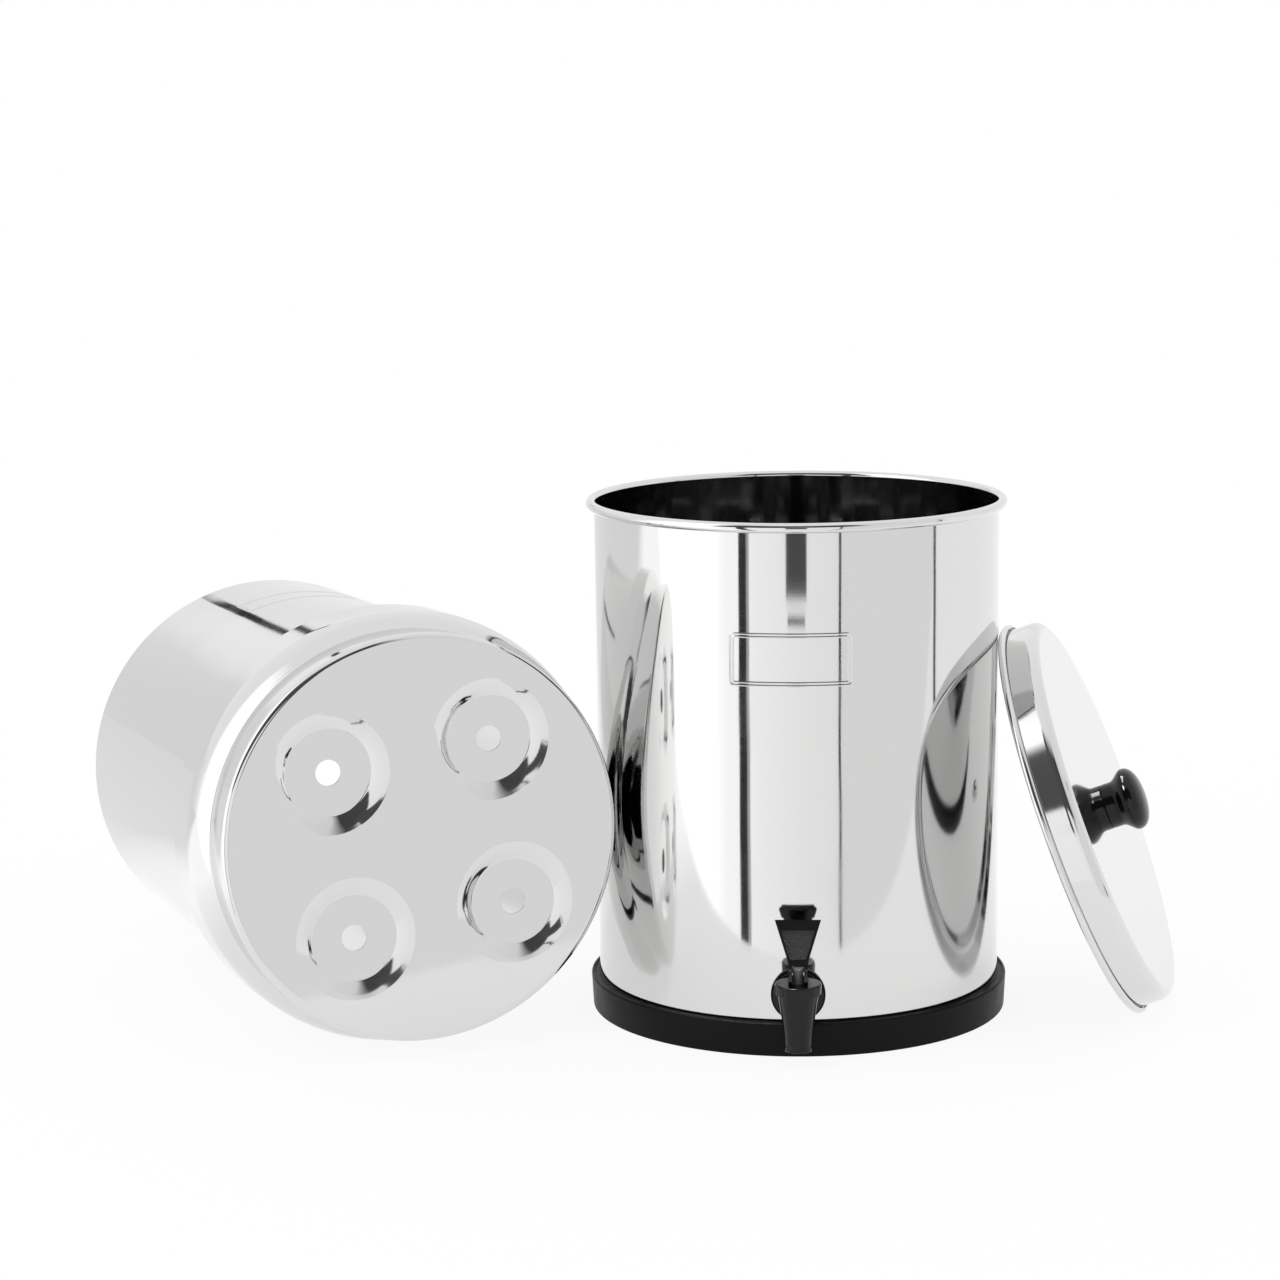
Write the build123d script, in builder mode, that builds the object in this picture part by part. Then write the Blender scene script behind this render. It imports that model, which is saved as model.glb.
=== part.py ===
"""Gravity water filter with tap, taken apart: the lower chamber stands in its rubber ring with the
four filter elements packed inside it, the upper chamber lies on its side against it and the lid
leans on it. Millimetres, +Z up, the origin on the floor under the middle of the lower chamber,
the tap towards -Y."""

from math import atan2, asin, cos, degrees, radians, sin, sqrt, tan
import os

from build123d import *

os.makedirs("parts", exist_ok=True)

# Clearances between pieces
RUNNING_FIT = 0.05  # radial, between a pin or stem and its hole
CURVED_SEAT = 0.05  # between two curved faces that rest on each other
CHAMBER_GAP = 0.8  # between the lying upper chamber and the lower chamber
LID_GAP = 0.5  # between the leaning lid's bead and the lower chamber

# Lower chamber: a drawn steel cup
SHEET = 1.0
WALL_R = 120.5
LOWER_TOP = 309.1
LOWER_CORNER_R = 6.0
LOWER_ROLL_R = 2.9

# Base ring that the lower chamber stands in
RING_FLOOR = 4.0
RING_HEIGHT = 20.0
RING_WALL = 5.1  # outside the chamber's wall, at the top
RING_DRAFT = 1.0  # how much narrower its foot is, in radius
RING_SEAT = 12.5  # how far it reaches in under the chamber
RING_EDGE_R = 1.2
RING_LIP = 1.8
RING_LIP_DROP = 1.0

# Embossed frame round the bare badge place, two thin raised borders
BADGE_WIDTH = 70.5
BADGE_HEIGHT = 30.4
BADGE_CORNER_R = 2.3
BADGE_BORDER = 0.8
BADGE_SPACE = 0.9
BADGE_RELIEF = 0.35
BADGE_SHIFT = -3.6  # of the lower chamber's badge, from its middle line
BADGE_Z = 230.7
BADGE_DEPTH = 92.0  # of the upper chamber's badge, below its rim
BADGE_TURN = -87.5  # where it is round the upper chamber, from its outer side

# Upper chamber: a drawn steel cup with a seating ridge and a stepped-in neck
NECK_FIT = 1.3  # round the neck, inside the lower chamber's mouth
NECK_LENGTH = 27.0
UPPER_CORNER_R = 3.8
RIDGE_OVERHANG = 6.2  # past the lower chamber's wall
RIDGE_NEAR = 47.0
RIDGE_FAR = 76.0
RIDGE_STEP_RUN = 4.0
RIDGE_STEP_R = 2.0
RIDGE_STEP = 9.0  # from the ridge in to the body
BODY_TAPER = 0.5  # from the ridge to the rim
UPPER_LENGTH = 318.8
UPPER_ROLL_R = 2.0
UPPER_TURN = 24.3  # the lying chamber's floor is turned this far from the front
UPPER_AHEAD = 28.8  # how far its floor lies ahead of the lower chamber's middle

# Four filter holes, each in a raised pad
HOLE_COUNT = 4
HOLE_R = 7.5
HOLE_PITCH_R = 68.5
HOLE_START = 51.9
PAD_HEIGHT = 4.2
PAD_R = 24.8
PAD_FOOT_R = 30.4
PAD_EDGE_R = 1.8
PAD_BLEND_R = 6.4

# Lid
LID_SHEET = 0.8
LID_FIT = 0.8  # between its skirt and the upper chamber's rim
LID_HEIGHT = 20.6
LID_CORNER_R = 6.5
LID_ROLL_R = 2.2
LID_TURN = -9.2  # heading of the leaning lid's top, from +X
LID_LEAN = 21.0  # how far its top looks up
LID_ASIDE = 18.4  # how far it leans off the line through the lower chamber's middle

# Lid knob and its screw
KNOB_BASE_R = 13.5
KNOB_R = 18.9
KNOB_HEIGHT = 23.5
KNOB_BASE_HEIGHT = 5.5
KNOB_WIDEST = 14.6
CROWN_FULLNESS = 0.63  # 0.55 is elliptical, 1 is square
SCREW_R = 2.4
SCREW_LENGTH = 14.0
SCREW_HEAD_R = 4.6
SCREW_HEAD = 2.6
SCREW_SLOT = 1.2
LID_WASHER_R = 8.0
LID_WASHER = 1.2

# Tap: where it is, its shank and its washers
TAP_Z = 36.3
TAP_REACH = 24.0
SHANK_R = 8.0
SHANK_BORE_R = 5.0
SHANK_LENGTH = 20.0  # inside the chamber
OUTER_WASHER_R = 15.7
OUTER_WASHER = 2.2
INNER_WASHER_R = 13.0
INNER_WASHER = 2.2
NUT_FLATS = 24.0
NUT_HEIGHT = 7.0
NUT_CHAMFER = 0.3  # drop of its edge for each millimetre outwards
FLANGE_R = 14.4
FLANGE = 2.4
ARM_R = 6.6

# Tap body, spout to bonnet
SPOUT_Z = 10.0
SPOUT_R = 7.7
SPOUT_TOP_Z = 13.8
SPOUT_LIP_R = 8.0
SPOUT_LIP = 2.2
SPOUT_BORE_R = 5.8
TAP_WAIST_R = 9.9
TAP_WAIST_Z = 31.6
TAP_SHOULDER_R = 11.8
BONNET_Z = 43.2
CAVITY_R = 8.6
SEAT_Z = 25.0
SEAT_BORE_R = 4.6
NECK_THREAD_R = 10.8
NECK_THREAD_TOP = 47.0

# Tap bonnet
BONNET_R = 13.4
BONNET_TOP = 49.4
BONNET_ROOF = 2.0
BONNET_EDGE_R = 0.8
BONNET_SKIRT_R = 13.0
GRIP_COUNT = 8
GRIP_START = -76.0
GRIP_R = 0.9
GRIP_RISE = 0.35

# Tap stem and its seat cup
STEM_R = 3.2
STEM_DOME_R = 4.5
PIN_Z = 54.4
PIN_R = 1.5
CUP_R = 7.2
CUP_HEIGHT = 6.0
CUP_WALL = 1.6
CUP_FLOOR = 2.2
STEM_FOOT_R = 2.4

# Tap lever: a paddle on a forked cam foot
LEVER_LEAN = 15.0
LEVER_TOP = 30.8  # from the pin, along the paddle
LEVER_TOP_WIDTH = 26.3
LEVER_WAIST = 6.2
LEVER_THICK = 3.0
LEVER_CORNER_R = 1.5
LEVER_BORDER = 1.5
LEVER_BAND = 5.8
LEVER_PANEL_DEPTH = 0.5
PANEL_FOOT = 8.2
FORK_WIDTH = 11.0
FORK_GAP = 0.3  # on each side of the stem
EYE_R = 3.6
HEEL_BACK = 2.6
TOE_TOP = 0.8  # where the toe's upper edge meets the eye, in radians above forward
CAM_CLEAR = 0.1
CAM_RUN_ON = 5.0  # degrees of cam past the end of the swing
CAM_STEPS = 6
LEVER_SWING = 50.0
STEM_LIFT = 4.5
BACK_FLANGE = 5.4
BACK_FLANGE_DEPTH = 3.2
RIB_WIDTH = 3.2
RIB_SPACE = 3.5
RIB_DEPTH = 2.4

# Filter elements, standing closed end down in the lower chamber
ELEMENT_R = 35.0
ELEMENT_HEIGHT = 205.0
ELEMENT_EDGE_R = 5.0
ELEMENT_CORE_R = 9.0
ELEMENT_WALL = 20.0  # left under the core
ELEMENT_PLACE = 49.5  # each one's distance from the chamber's middle along X and along Y
CAP_R = 35.6
CAP_HEIGHT = 12.0
CAP_EDGE_R = 2.0
CAP_COLLAR_R = 13.0
CAP_COLLAR = 2.0
CAP_STEM_R = 7.0
CAP_STEM = 30.0
CAP_STEM_BORE_R = 3.5
ELEMENT_WASHER_R = 12.5
ELEMENT_WASHER = 2.4
WING_HUB_R = 10.0
WING_HUB = 8.0
WING_SPAN = 36.0
WING_THICK = 3.2
WING_HEIGHT = 15.0
WING_HUB_TAPER = 8.0
WING_TIP_R = 3.0

# Worked out from the sizes above
FLOOR_Z = RING_FLOOR
LOWER_ROLL_Z = LOWER_TOP - LOWER_ROLL_R
LOWER_ROLL_CENTER_R = WALL_R - SHEET + LOWER_ROLL_R
INNER_FLOOR_Z = FLOOR_Z + SHEET
INNER_WALL_R = WALL_R - SHEET
RING_TOP_R = WALL_R + RING_WALL
NECK_R = INNER_WALL_R - NECK_FIT
RIDGE_R = WALL_R + RIDGE_OVERHANG
BODY_R = RIDGE_R - RIDGE_STEP
RIM_R = BODY_R - BODY_TAPER
SKIRT_R = RIM_R + LID_FIT + LID_SHEET
TAP_Y = -(WALL_R + TAP_REACH)


def section(place):
    """The plane through a turned piece's axis: sketch x is its radius, sketch y runs along it."""
    return Plane(place.origin, x_dir=place.x_dir, z_dir=-place.y_dir)


def axis_of(place):
    """The axis that a piece placed on this plane is turned about."""
    return Axis(place.origin, place.z_dir)


# ---------------------------------------------------------------- where the pieces lie
# The upper chamber rests on the far edge of its ridge and on its open rim, so it tips up a little.
upper_tip = degrees(asin((RIDGE_R - RIM_R) / (UPPER_LENGTH - RIDGE_FAR)))
upper_heading = Vector(sin(radians(UPPER_TURN)), -cos(radians(UPPER_TURN)), 0)
upper_side = Vector(cos(radians(UPPER_TURN)), sin(radians(UPPER_TURN)), 0)
upper_out = upper_heading * cos(radians(upper_tip)) + Vector(0, 0, sin(radians(upper_tip)))
ridge_ahead = UPPER_AHEAD - RIDGE_NEAR
upper_aside = RIDGE_R + sqrt((WALL_R + CHAMBER_GAP) ** 2 - ridge_ahead**2)
upper_rise = RIDGE_FAR * sin(radians(upper_tip)) + RIDGE_R * cos(radians(upper_tip))
UPPER = Plane(
    upper_heading * UPPER_AHEAD - upper_side * upper_aside + Vector(0, 0, upper_rise),
    x_dir=-upper_side,
    z_dir=-upper_out,
)

UPPER_OUTSIDE = Plane(UPPER.origin, x_dir=UPPER.x_dir, z_dir=-UPPER.z_dir)

# The lid rests on its bead, on the floor and against the wall.
lid_heading = Vector(cos(radians(LID_TURN)), sin(radians(LID_TURN)), 0)
lid_side = Vector(-sin(radians(LID_TURN)), cos(radians(LID_TURN)), 0)
lid_roll_center_r = SKIRT_R - LID_SHEET + LID_ROLL_R
lid_rise = lid_roll_center_r * cos(radians(LID_LEAN)) + LID_ROLL_R
lid_reach = sqrt(lid_roll_center_r**2 - LID_ASIDE**2) * sin(radians(LID_LEAN))
lid_away = WALL_R + LID_GAP + LID_ROLL_R + lid_reach
LID = Plane(
    lid_heading * lid_away + lid_side * LID_ASIDE + Vector(0, 0, lid_rise),
    x_dir=lid_side,
    z_dir=lid_heading * cos(radians(LID_LEAN)) + Vector(0, 0, sin(radians(LID_LEAN))),
)
LID_FACE = LID.offset(LID_HEIGHT)
LID_UNDER = LID.offset(LID_HEIGHT - LID_SHEET)

# The tap stands on its own upright axis; its shank runs back through the wall.
TAP = Plane((0, TAP_Y, 0))
SHANK = Plane((0, TAP_Y, TAP_Z), x_dir=(1, 0, 0), z_dir=(0, 1, 0))
LEVER_SIDE = Plane((0, TAP_Y, PIN_Z), x_dir=(0, -1, 0), z_dir=(-1, 0, 0))  # x is forwards
LEVER = Plane(
    (0, TAP_Y, PIN_Z),
    x_dir=(1, 0, 0),
    z_dir=(0, -cos(radians(LEVER_LEAN)), sin(radians(LEVER_LEAN))),
)


def badge_borders(width, height):
    """The two raised borders of the badge frame, one inside the other, as a flat sketch."""
    for inset in (0, BADGE_BORDER + BADGE_SPACE):
        outer_r = BADGE_CORNER_R - inset / 2
        RectangleRounded(width - 2 * inset, height - 2 * inset, outer_r)
        inner = inset + BADGE_BORDER
        RectangleRounded(width - 2 * inner, height - 2 * inner, outer_r / 2, mode=Mode.SUBTRACT)


# ---------------------------------------------------------------- lower chamber
BADGE_FACE = Plane((BADGE_SHIFT, -WALL_R, BADGE_Z), x_dir=(1, 0, 0), z_dir=(0, -1, 0))

with BuildPart() as lower_badge:
    with BuildSketch(BADGE_FACE):
        badge_borders(BADGE_WIDTH, BADGE_HEIGHT)
    extrude(amount=BADGE_HEIGHT, both=True)
    with BuildSketch(Plane.XY.offset(BADGE_Z - BADGE_HEIGHT)):
        Circle(WALL_R + BADGE_RELIEF)
        Circle(WALL_R - SHEET / 2, mode=Mode.SUBTRACT)
    extrude(amount=2 * BADGE_HEIGHT, mode=Mode.INTERSECT)

with BuildPart() as lower_chamber:
    with BuildSketch(Plane.XZ):
        with Locations((LOWER_ROLL_CENTER_R, LOWER_ROLL_Z)):
            Circle(LOWER_ROLL_R)
            Circle(LOWER_ROLL_R - SHEET, mode=Mode.SUBTRACT)
            Rectangle(
                LOWER_ROLL_R, LOWER_ROLL_R, align=(Align.MAX, Align.MAX), mode=Mode.SUBTRACT
            )
        with BuildLine():
            outside = FilletPolyline(
                (0, FLOOR_Z), (WALL_R, FLOOR_Z), (WALL_R, LOWER_ROLL_Z), radius=LOWER_CORNER_R
            )
            inside = FilletPolyline(
                (INNER_WALL_R, LOWER_ROLL_Z),
                (INNER_WALL_R, INNER_FLOOR_Z),
                (0, INNER_FLOOR_Z),
                radius=LOWER_CORNER_R - SHEET,
            )
            Line(outside @ 1, inside @ 0)
            Line(inside @ 1, outside @ 0)
        make_face()
    revolve(axis=Axis.Z)
    add(lower_badge.part)
    with BuildSketch(Plane((0, -WALL_R, TAP_Z), x_dir=(1, 0, 0), z_dir=(0, -1, 0))):
        Circle(SHANK_R + RUNNING_FIT)
    extrude(amount=TAP_REACH, both=True, mode=Mode.SUBTRACT)
lower_chamber.part.label = "lower_chamber"
export_step(lower_chamber.part, "parts/lower_chamber.step")

# ---------------------------------------------------------------- base ring
with BuildPart() as base_ring:
    with BuildSketch(Plane.XZ):
        with BuildLine():
            Polyline(
                (WALL_R - RING_SEAT, 0),
                (RING_TOP_R - RING_DRAFT, 0),
                (RING_TOP_R, RING_HEIGHT),
                (RING_TOP_R - RING_LIP, RING_HEIGHT),
                (RING_TOP_R - RING_LIP, RING_HEIGHT - RING_LIP_DROP),
                (WALL_R + CURVED_SEAT, RING_HEIGHT - RING_LIP_DROP),
                (WALL_R + CURVED_SEAT, RING_FLOOR),
                (WALL_R - RING_SEAT, RING_FLOOR),
                close=True,
            )
        make_face()
    revolve(axis=Axis.Z)
    fillet(base_ring.edges().group_by(Axis.Z)[-1].sort_by(SortBy.RADIUS)[-1], RING_EDGE_R)
base_ring.part.label = "base_ring"
export_step(base_ring.part, "parts/base_ring.step")


# ---------------------------------------------------------------- upper chamber
def upper_skin(inset):
    """The upper chamber's outline this far inside its outer face, from its floor to its rim."""
    corner_z = NECK_LENGTH + inset / 2
    step_turn = atan2(RIDGE_R - BODY_R, RIDGE_STEP_RUN)
    step_z = RIDGE_FAR - inset * tan(step_turn / 2)
    floor_and_neck = FilletPolyline(
        (0, inset),
        (NECK_R - inset, inset),
        (NECK_R - inset, corner_z),
        radius=UPPER_CORNER_R - inset,
    )
    TangentArc(
        (RIDGE_R - inset, RIDGE_NEAR), (NECK_R - inset, corner_z), tangent=(0, -1)
    )
    ridge_and_body = FilletPolyline(
        (RIDGE_R - inset, RIDGE_NEAR),
        (RIDGE_R - inset, step_z),
        (BODY_R - inset, step_z + RIDGE_STEP_RUN),
        (RIM_R - inset, UPPER_LENGTH - UPPER_ROLL_R),
        radius=(RIDGE_STEP_R - inset, RIDGE_STEP_R + inset),
    )
    return floor_and_neck @ 0, ridge_and_body @ 1


def pad_skin(drop):
    """A filter pad's outline this far below its outer face, from its hole to the flat floor."""
    return FilletPolyline(
        (HOLE_R, PAD_HEIGHT - drop),
        (PAD_R, PAD_HEIGHT - drop),
        (PAD_FOOT_R, -drop),
        (pad_edge_r, -drop),
        radius=(PAD_EDGE_R, PAD_BLEND_R),
    )


pad_slope = atan2(PAD_HEIGHT, PAD_FOOT_R - PAD_R)
pad_edge_r = PAD_FOOT_R + PAD_BLEND_R * tan(pad_slope / 2) + SHEET / 2

with BuildPart() as filter_pad:
    with BuildSketch(Plane.XZ):
        with BuildLine():
            pad_outside = pad_skin(0)
            pad_inside = pad_skin(SHEET)
            Line(pad_outside @ 0, pad_inside @ 0)
            Line(pad_outside @ 1, pad_inside @ 1)
        make_face()
    revolve(axis=Axis.Z)

badge_out = Vector(cos(radians(BADGE_TURN)), sin(radians(BADGE_TURN)), 0)
badge_middle = BADGE_DEPTH - UPPER_LENGTH

with BuildPart() as upper_badge:
    with BuildSketch(Plane(badge_out * BODY_R + Vector(0, 0, badge_middle), (0, 0, 1), badge_out)):
        badge_borders(BADGE_HEIGHT, BADGE_WIDTH)
    extrude(amount=BADGE_HEIGHT, both=True)
    with BuildSketch(Plane.XY.offset(badge_middle - BADGE_HEIGHT)):
        Circle(BODY_R + BADGE_RELIEF)
        Circle(RIM_R - SHEET / 2, mode=Mode.SUBTRACT)
    extrude(amount=2 * BADGE_HEIGHT, mode=Mode.INTERSECT)

with BuildPart(UPPER_OUTSIDE) as upper_chamber:
    with BuildSketch(section(UPPER)):
        with Locations((RIM_R - UPPER_ROLL_R, UPPER_LENGTH - UPPER_ROLL_R)):
            Circle(UPPER_ROLL_R)
            Circle(UPPER_ROLL_R - SHEET, mode=Mode.SUBTRACT)
            Rectangle(
                UPPER_ROLL_R, UPPER_ROLL_R, align=(Align.MIN, Align.MAX), mode=Mode.SUBTRACT
            )
        with BuildLine():
            outer_floor, outer_rim = upper_skin(0)
            inner_floor, inner_rim = upper_skin(SHEET)
            Line(outer_floor, inner_floor)
            Line(outer_rim, inner_rim)
        make_face()
    revolve(axis=axis_of(UPPER))
    add(upper_badge.part)
    with PolarLocations(HOLE_PITCH_R, HOLE_COUNT, start_angle=HOLE_START):
        Cylinder(pad_edge_r, 3 * SHEET, mode=Mode.SUBTRACT)
        add(filter_pad.part)
upper_chamber.part.label = "upper_chamber"
export_step(upper_chamber.part, "parts/upper_chamber.step")

# ---------------------------------------------------------------- lid, knob, screw and washer
with BuildPart() as lid:
    with BuildSketch(section(LID)):
        with Locations((lid_roll_center_r, 0)):
            Circle(LID_ROLL_R)
            Circle(LID_ROLL_R - LID_SHEET, mode=Mode.SUBTRACT)
            Rectangle(LID_ROLL_R, LID_ROLL_R, align=(Align.MAX, Align.MIN), mode=Mode.SUBTRACT)
        with BuildLine():
            lid_outside = FilletPolyline(
                (0, LID_HEIGHT), (SKIRT_R, LID_HEIGHT), (SKIRT_R, 0), radius=LID_CORNER_R
            )
            lid_inside = FilletPolyline(
                (SKIRT_R - LID_SHEET, 0),
                (SKIRT_R - LID_SHEET, LID_HEIGHT - LID_SHEET),
                (0, LID_HEIGHT - LID_SHEET),
                radius=LID_CORNER_R - LID_SHEET,
            )
            Line(lid_outside @ 1, lid_inside @ 0)
            Line(lid_inside @ 1, lid_outside @ 0)
        make_face()
    revolve(axis=axis_of(LID))
    with BuildSketch(LID_FACE):
        Circle(SCREW_R + RUNNING_FIT)
    extrude(amount=-2 * LID_SHEET, mode=Mode.SUBTRACT)
lid.part.label = "lid"
export_step(lid.part, "parts/lid.step")

screw_in_knob = SCREW_LENGTH - LID_SHEET - LID_WASHER
with BuildPart() as lid_knob:
    with BuildSketch(section(LID_FACE)):
        with BuildLine():
            Line((0, 0), (KNOB_BASE_R, 0))
            waist = Line((KNOB_BASE_R, 0), (KNOB_BASE_R, KNOB_BASE_HEIGHT))
            Spline(waist @ 1, (KNOB_R, KNOB_WIDEST), tangents=((0, 1), (0, 1)))
            crown = Bezier(
                (KNOB_R, KNOB_WIDEST),
                (KNOB_R, KNOB_WIDEST + CROWN_FULLNESS * (KNOB_HEIGHT - KNOB_WIDEST)),
                (CROWN_FULLNESS * KNOB_R, KNOB_HEIGHT),
                (0, KNOB_HEIGHT),
            )
            Line(crown @ 1, (0, 0))
        make_face()
    revolve(axis=axis_of(LID))
    with BuildSketch(LID_FACE):
        Circle(SCREW_R + RUNNING_FIT)
    extrude(amount=screw_in_knob + SCREW_R / 2, mode=Mode.SUBTRACT)
lid_knob.part.label = "lid_knob"
export_step(lid_knob.part, "parts/lid_knob.step")

with BuildPart() as lid_washer:
    with BuildSketch(LID_UNDER):
        Circle(LID_WASHER_R)
        Circle(SCREW_R + RUNNING_FIT, mode=Mode.SUBTRACT)
    extrude(amount=-LID_WASHER)
lid_washer.part.label = "lid_washer"
export_step(lid_washer.part, "parts/lid_washer.step")

SCREW_SEAT = LID_UNDER.offset(-LID_WASHER)
with BuildPart() as lid_screw:
    with BuildSketch(SCREW_SEAT):
        Circle(SCREW_HEAD_R)
    extrude(amount=-SCREW_HEAD)
    fillet(lid_screw.faces().sort_by(axis_of(LID))[0].edges(), SCREW_HEAD / 2)
    with BuildSketch(SCREW_SEAT.offset(-SCREW_HEAD)):
        Rectangle(2 * SCREW_HEAD_R, SCREW_SLOT)
    extrude(amount=SCREW_HEAD / 2, mode=Mode.SUBTRACT)
    with BuildSketch(SCREW_SEAT):
        Circle(SCREW_R)
    extrude(amount=SCREW_LENGTH)
lid_screw.part.label = "lid_screw"
export_step(lid_screw.part, "parts/lid_screw.step")

# ---------------------------------------------------------------- tap body, from spout to shank
flange_back = TAP_REACH - OUTER_WASHER
with BuildPart() as tap_body:
    with BuildSketch(section(TAP)):
        with BuildLine():
            Polyline(
                (0, SPOUT_Z),
                (SPOUT_LIP_R, SPOUT_Z),
                (SPOUT_LIP_R, SPOUT_Z + SPOUT_LIP),
                (SPOUT_R, SPOUT_TOP_Z),
            )
            ThreePointArc(
                (SPOUT_R, SPOUT_TOP_Z), (TAP_WAIST_R, TAP_WAIST_Z), (TAP_SHOULDER_R, BONNET_Z)
            )
            Polyline(
                (TAP_SHOULDER_R, BONNET_Z),
                (NECK_THREAD_R, BONNET_Z),
                (NECK_THREAD_R, NECK_THREAD_TOP),
                (0, NECK_THREAD_TOP),
                (0, SPOUT_Z),
            )
        make_face()
    revolve(axis=axis_of(TAP))
    with BuildSketch(SHANK):
        Circle(ARM_R)
    extrude(amount=flange_back)
    with BuildSketch(SHANK.offset(flange_back)):
        Circle(FLANGE_R)
    extrude(amount=-FLANGE)
    with BuildSketch(SHANK.offset(flange_back)):
        Circle(SHANK_R)
    extrude(amount=OUTER_WASHER + SHEET + SHANK_LENGTH)
    with BuildSketch(section(TAP)):
        with BuildLine():
            Polyline(
                (0, SPOUT_Z),
                (SPOUT_BORE_R, SPOUT_Z),
                (SEAT_BORE_R, SEAT_Z),
                (CAVITY_R, SEAT_Z),
                (CAVITY_R, NECK_THREAD_TOP),
                (0, NECK_THREAD_TOP),
                close=True,
            )
        make_face()
    revolve(axis=axis_of(TAP), mode=Mode.SUBTRACT)
    with BuildSketch(SHANK):
        Circle(SHANK_BORE_R)
    extrude(amount=TAP_REACH + SHEET + SHANK_LENGTH, mode=Mode.SUBTRACT)
tap_body.part.label = "tap_body"
export_step(tap_body.part, "parts/tap_body.step")

with BuildPart() as tap_outer_washer:
    with BuildSketch(SHANK.offset(flange_back)):
        Circle(OUTER_WASHER_R)
        Circle(SHANK_R + RUNNING_FIT, mode=Mode.SUBTRACT)
    extrude(amount=2 * OUTER_WASHER)
    with BuildSketch(Plane.XY):
        Circle(WALL_R + CURVED_SEAT)
    extrude(amount=TAP_Z + 2 * OUTER_WASHER_R, mode=Mode.SUBTRACT)
tap_outer_washer.part.label = "tap_outer_washer"
export_step(tap_outer_washer.part, "parts/tap_outer_washer.step")

INNER_SEAT = SHANK.offset(TAP_REACH + SHEET)
with BuildPart() as tap_inner_washer:
    with BuildSketch(INNER_SEAT):
        Circle(INNER_WASHER_R)
        Circle(SHANK_R + RUNNING_FIT, mode=Mode.SUBTRACT)
    extrude(amount=INNER_WASHER)
    with BuildSketch(Plane.XY):
        Circle(INNER_WALL_R - CURVED_SEAT)
    extrude(amount=TAP_Z + 2 * INNER_WASHER_R, mode=Mode.INTERSECT)
tap_inner_washer.part.label = "tap_inner_washer"
export_step(tap_inner_washer.part, "parts/tap_inner_washer.step")

NUT_SEAT = INNER_SEAT.offset(INNER_WASHER)
with BuildPart() as tap_nut:
    with BuildSketch(NUT_SEAT):
        RegularPolygon(NUT_FLATS / 2, 6, major_radius=False)
    extrude(amount=NUT_HEIGHT)
    with BuildSketch(section(NUT_SEAT)):
        with BuildLine():
            Polyline(
                (NUT_FLATS / 2, NUT_HEIGHT),
                (NUT_FLATS, NUT_HEIGHT),
                (NUT_FLATS, NUT_HEIGHT - NUT_FLATS / 2 * NUT_CHAMFER),
                close=True,
            )
        make_face()
    revolve(axis=axis_of(NUT_SEAT), mode=Mode.SUBTRACT)
    with BuildSketch(NUT_SEAT):
        Circle(SHANK_R + RUNNING_FIT)
    extrude(amount=NUT_HEIGHT, mode=Mode.SUBTRACT)
tap_nut.part.label = "tap_nut"
export_step(tap_nut.part, "parts/tap_nut.step")

# ---------------------------------------------------------------- tap bonnet
with BuildPart(TAP.offset(BONNET_Z)) as tap_bonnet:
    with BuildSketch(section(TAP)):
        with BuildLine():
            Polyline(
                (NECK_THREAD_R + RUNNING_FIT, BONNET_Z),
                (BONNET_SKIRT_R, BONNET_Z),
                (BONNET_R, BONNET_TOP),
                (STEM_R + RUNNING_FIT, BONNET_TOP),
                (STEM_R + RUNNING_FIT, BONNET_TOP - BONNET_ROOF),
                (NECK_THREAD_R + RUNNING_FIT, BONNET_TOP - BONNET_ROOF),
                close=True,
            )
        make_face()
    revolve(axis=axis_of(TAP))
    fillet(tap_bonnet.edges().group_by(Axis.Z)[-1].sort_by(SortBy.RADIUS)[-1], BONNET_EDGE_R)
    with PolarLocations(BONNET_SKIRT_R + GRIP_RISE - GRIP_R, GRIP_COUNT, start_angle=GRIP_START):
        Cylinder(
            GRIP_R,
            BONNET_TOP - BONNET_Z - BONNET_EDGE_R,
            align=(Align.CENTER, Align.CENTER, Align.MIN),
        )
tap_bonnet.part.label = "tap_bonnet"
export_step(tap_bonnet.part, "parts/tap_bonnet.step")

# ---------------------------------------------------------------- stem, seat cup and pin
stem_foot_z = SEAT_Z + CUP_FLOOR
cup_top_z = SEAT_Z + CUP_HEIGHT
stem_top_z = PIN_Z + STEM_DOME_R
with BuildPart() as tap_stem:
    with BuildSketch(TAP.offset(stem_foot_z)):
        Circle(STEM_FOOT_R)
    extrude(amount=CUP_HEIGHT - CUP_FLOOR)
    with BuildSketch(TAP.offset(cup_top_z)):
        Circle(STEM_R)
    extrude(amount=stem_top_z - cup_top_z)
    with BuildSketch(LEVER_SIDE):
        Rectangle(4 * STEM_R, 2 * STEM_DOME_R, align=(Align.CENTER, Align.MIN))
        Circle(STEM_DOME_R, mode=Mode.SUBTRACT)
    extrude(amount=2 * STEM_R, both=True, mode=Mode.SUBTRACT)
    with BuildSketch(LEVER_SIDE):
        Circle(PIN_R + RUNNING_FIT)
    extrude(amount=2 * STEM_R, both=True, mode=Mode.SUBTRACT)
tap_stem.part.label = "tap_stem"
export_step(tap_stem.part, "parts/tap_stem.step")

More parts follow.
